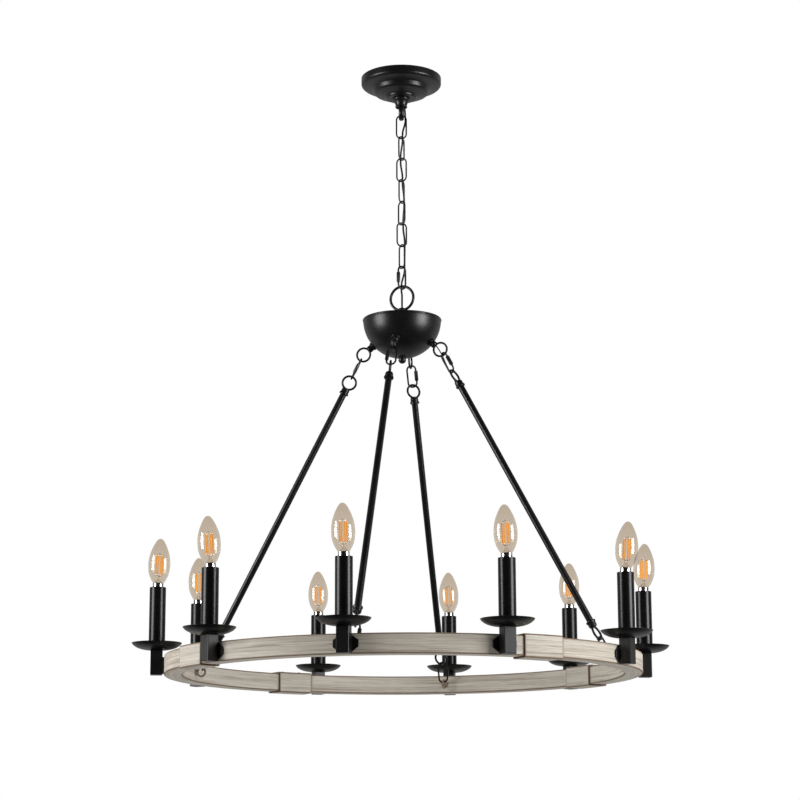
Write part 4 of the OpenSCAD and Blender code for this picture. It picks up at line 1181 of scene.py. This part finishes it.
lower_lead += [(-9.5, -WHEEL_EYE_AT - 3, WHEEL_Z + 1.5),
               (LEAD_WALL_X, -WHEEL_R + RING_W + 3, WHEEL_Z),
               (LEAD_WALL_X, -WHEEL_R + RING_W - 4, WHEEL_Z)]
lead = Shape()
for route in (upper_lead, lower_lead):
    lead.add(sweep(smooth_line(route, 6), disc(LEAD_R, 14)), at_rod(LEAD_ROD))
make("rod_lead_wire", lead, CORD, "chandelier", ["rod_lead"], sharp_deg=60)

# ---- CAD nodes that show as they are ----

KEPT = {"ceiling_crossbar": (STEEL, "plain_steel"), "canopy_nipple": (BRASS, "brass"),
        "canopy_nut": (STEEL, "plain_steel"), "hub_stem": (BRASS, "brass"),
        "lamp_sockets": (SOCKET, "socket_plastic")}
for node_name, (material, slot_name) in KEPT.items():
    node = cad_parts[node_name]
    node.data.materials.clear()
    node.data.materials.append(material)

# ---- Studio ----

FLOOR_Z = -2.05
STUDIO = 9.0


def studio_material():
    """Matt white paper."""
    n = Nodes("white_paper")
    fibre = n.noise(n.place(), 3.0, detail=4.0)
    return n.coat({
        "Base Color": n.ramp(fibre, ((0.3, (0.86, 0.86, 0.86)), (0.7, (0.90, 0.90, 0.90)))),
        "Roughness": 0.9})


floor_mesh = bpy.data.meshes.new("studio_floor")
floor_mesh.from_pydata([(-STUDIO, -STUDIO, FLOOR_Z), (STUDIO, -STUDIO, FLOOR_Z),
                        (STUDIO, STUDIO, FLOOR_Z), (-STUDIO, STUDIO, FLOOR_Z)], [],
                       [(0, 1, 2, 3)])
floor = placed("studio_floor", floor_mesh)
floor_mesh.materials.append(studio_material())
# Gloss mirrors the studio's dark end instead of the lit paper
floor.visible_glossy = False

# The paper behind the object is white. Glossy rays see it dimmer, as matt paper far off, and
# see the dark end of the studio round the camera.
BACK_GLOSS, FRONT_GLOSS = 0.45, 0.012
BACK_FILL, FRONT_FILL = 0.45, 0.07
BACK_FROM = 0.7
sky = Nodes("studio", "worlds")
bpy.context.scene.world = sky.owner
rays = sky.add("ShaderNodeLightPath").outputs
heading = sky.add("ShaderNodeSeparateXYZ",
                  {0: sky.add("ShaderNodeTexCoord").outputs["Generated"]}).outputs["Y"]
fill, gloss = [sky.level(heading, 0.0, BACK_FROM, front, back, interpolation_type="SMOOTHSTEP")
               for front, back in ((FRONT_FILL, BACK_FILL), (FRONT_GLOSS, BACK_GLOSS))]
by_ray = sky.add("ShaderNodeMix", {0: rays["Is Glossy Ray"], 2: fill, 3: gloss})
seen = sky.math("MAXIMUM", rays["Is Camera Ray"], rays["Is Transmission Ray"])
strength = sky.add("ShaderNodeMix", {0: seen, 2: by_ray, 3: 1.0})
sky.surface(sky.add("ShaderNodeBackground", {"Color": (1.0, 1.0, 1.0, 1.0),
                                             "Strength": strength}), "ShaderNodeOutputWorld")


def soft_box(name, at, aim, width, height, power, mirrored=True):
    light = bpy.data.lights.new(name, "AREA")
    light.shape = "RECTANGLE"
    light.size, light.size_y = width, height
    light.energy = power
    lamp = placed(name, light)
    lamp.location = at
    lamp.rotation_mode = "QUATERNION"
    lamp.rotation_quaternion = (Vector(aim) - Vector(at)).to_track_quat("-Z", "Y")
    lamp.visible_camera = False
    lamp.visible_glossy = mirrored


soft_box("soft_left", (-2.0, -0.80, -0.50), (0, -0.1, -0.7), 0.95, 1.1, 38)
soft_box("soft_right", (1.9, -1.05, -0.55), (0, -0.1, -0.7), 0.95, 1.1, 45)
soft_box("soft_back_left", (-1.7, 1.5, -0.7), (0, 0, -0.7), 0.6, 1.6, 6, mirrored=False)
soft_box("soft_back_right", (1.7, 1.5, -0.7), (0, 0, -0.7), 0.6, 1.6, 6, mirrored=False)
soft_box("soft_top", (0, -0.3, 1.1), (0, 0, -0.6), 1.6, 1.2, 7, mirrored=False)

# ---- Camera ----

PICTURE = 800
FOCAL_PX = 2175.0
SENSOR = 36.0
CAMERA_AT = (0.0, -3.493, -1.310)
CAMERA_PITCH = 12.16
CAMERA_YAW = 0.064
CAMERA_ROLL = -0.20

camera_data = bpy.data.cameras.new("photo_camera")
camera_data.sensor_width = SENSOR
camera_data.lens = FOCAL_PX * SENSOR / PICTURE
camera_data.clip_end = 60
camera = placed("photo_camera", camera_data)
camera.matrix_world = (shift(*CAMERA_AT) @ turn("Z", CAMERA_YAW)
                       @ turn("X", 90 + CAMERA_PITCH) @ turn("Z", CAMERA_ROLL))
bpy.context.scene.camera = camera
bpy.context.scene.view_settings.view_transform = "Standard"
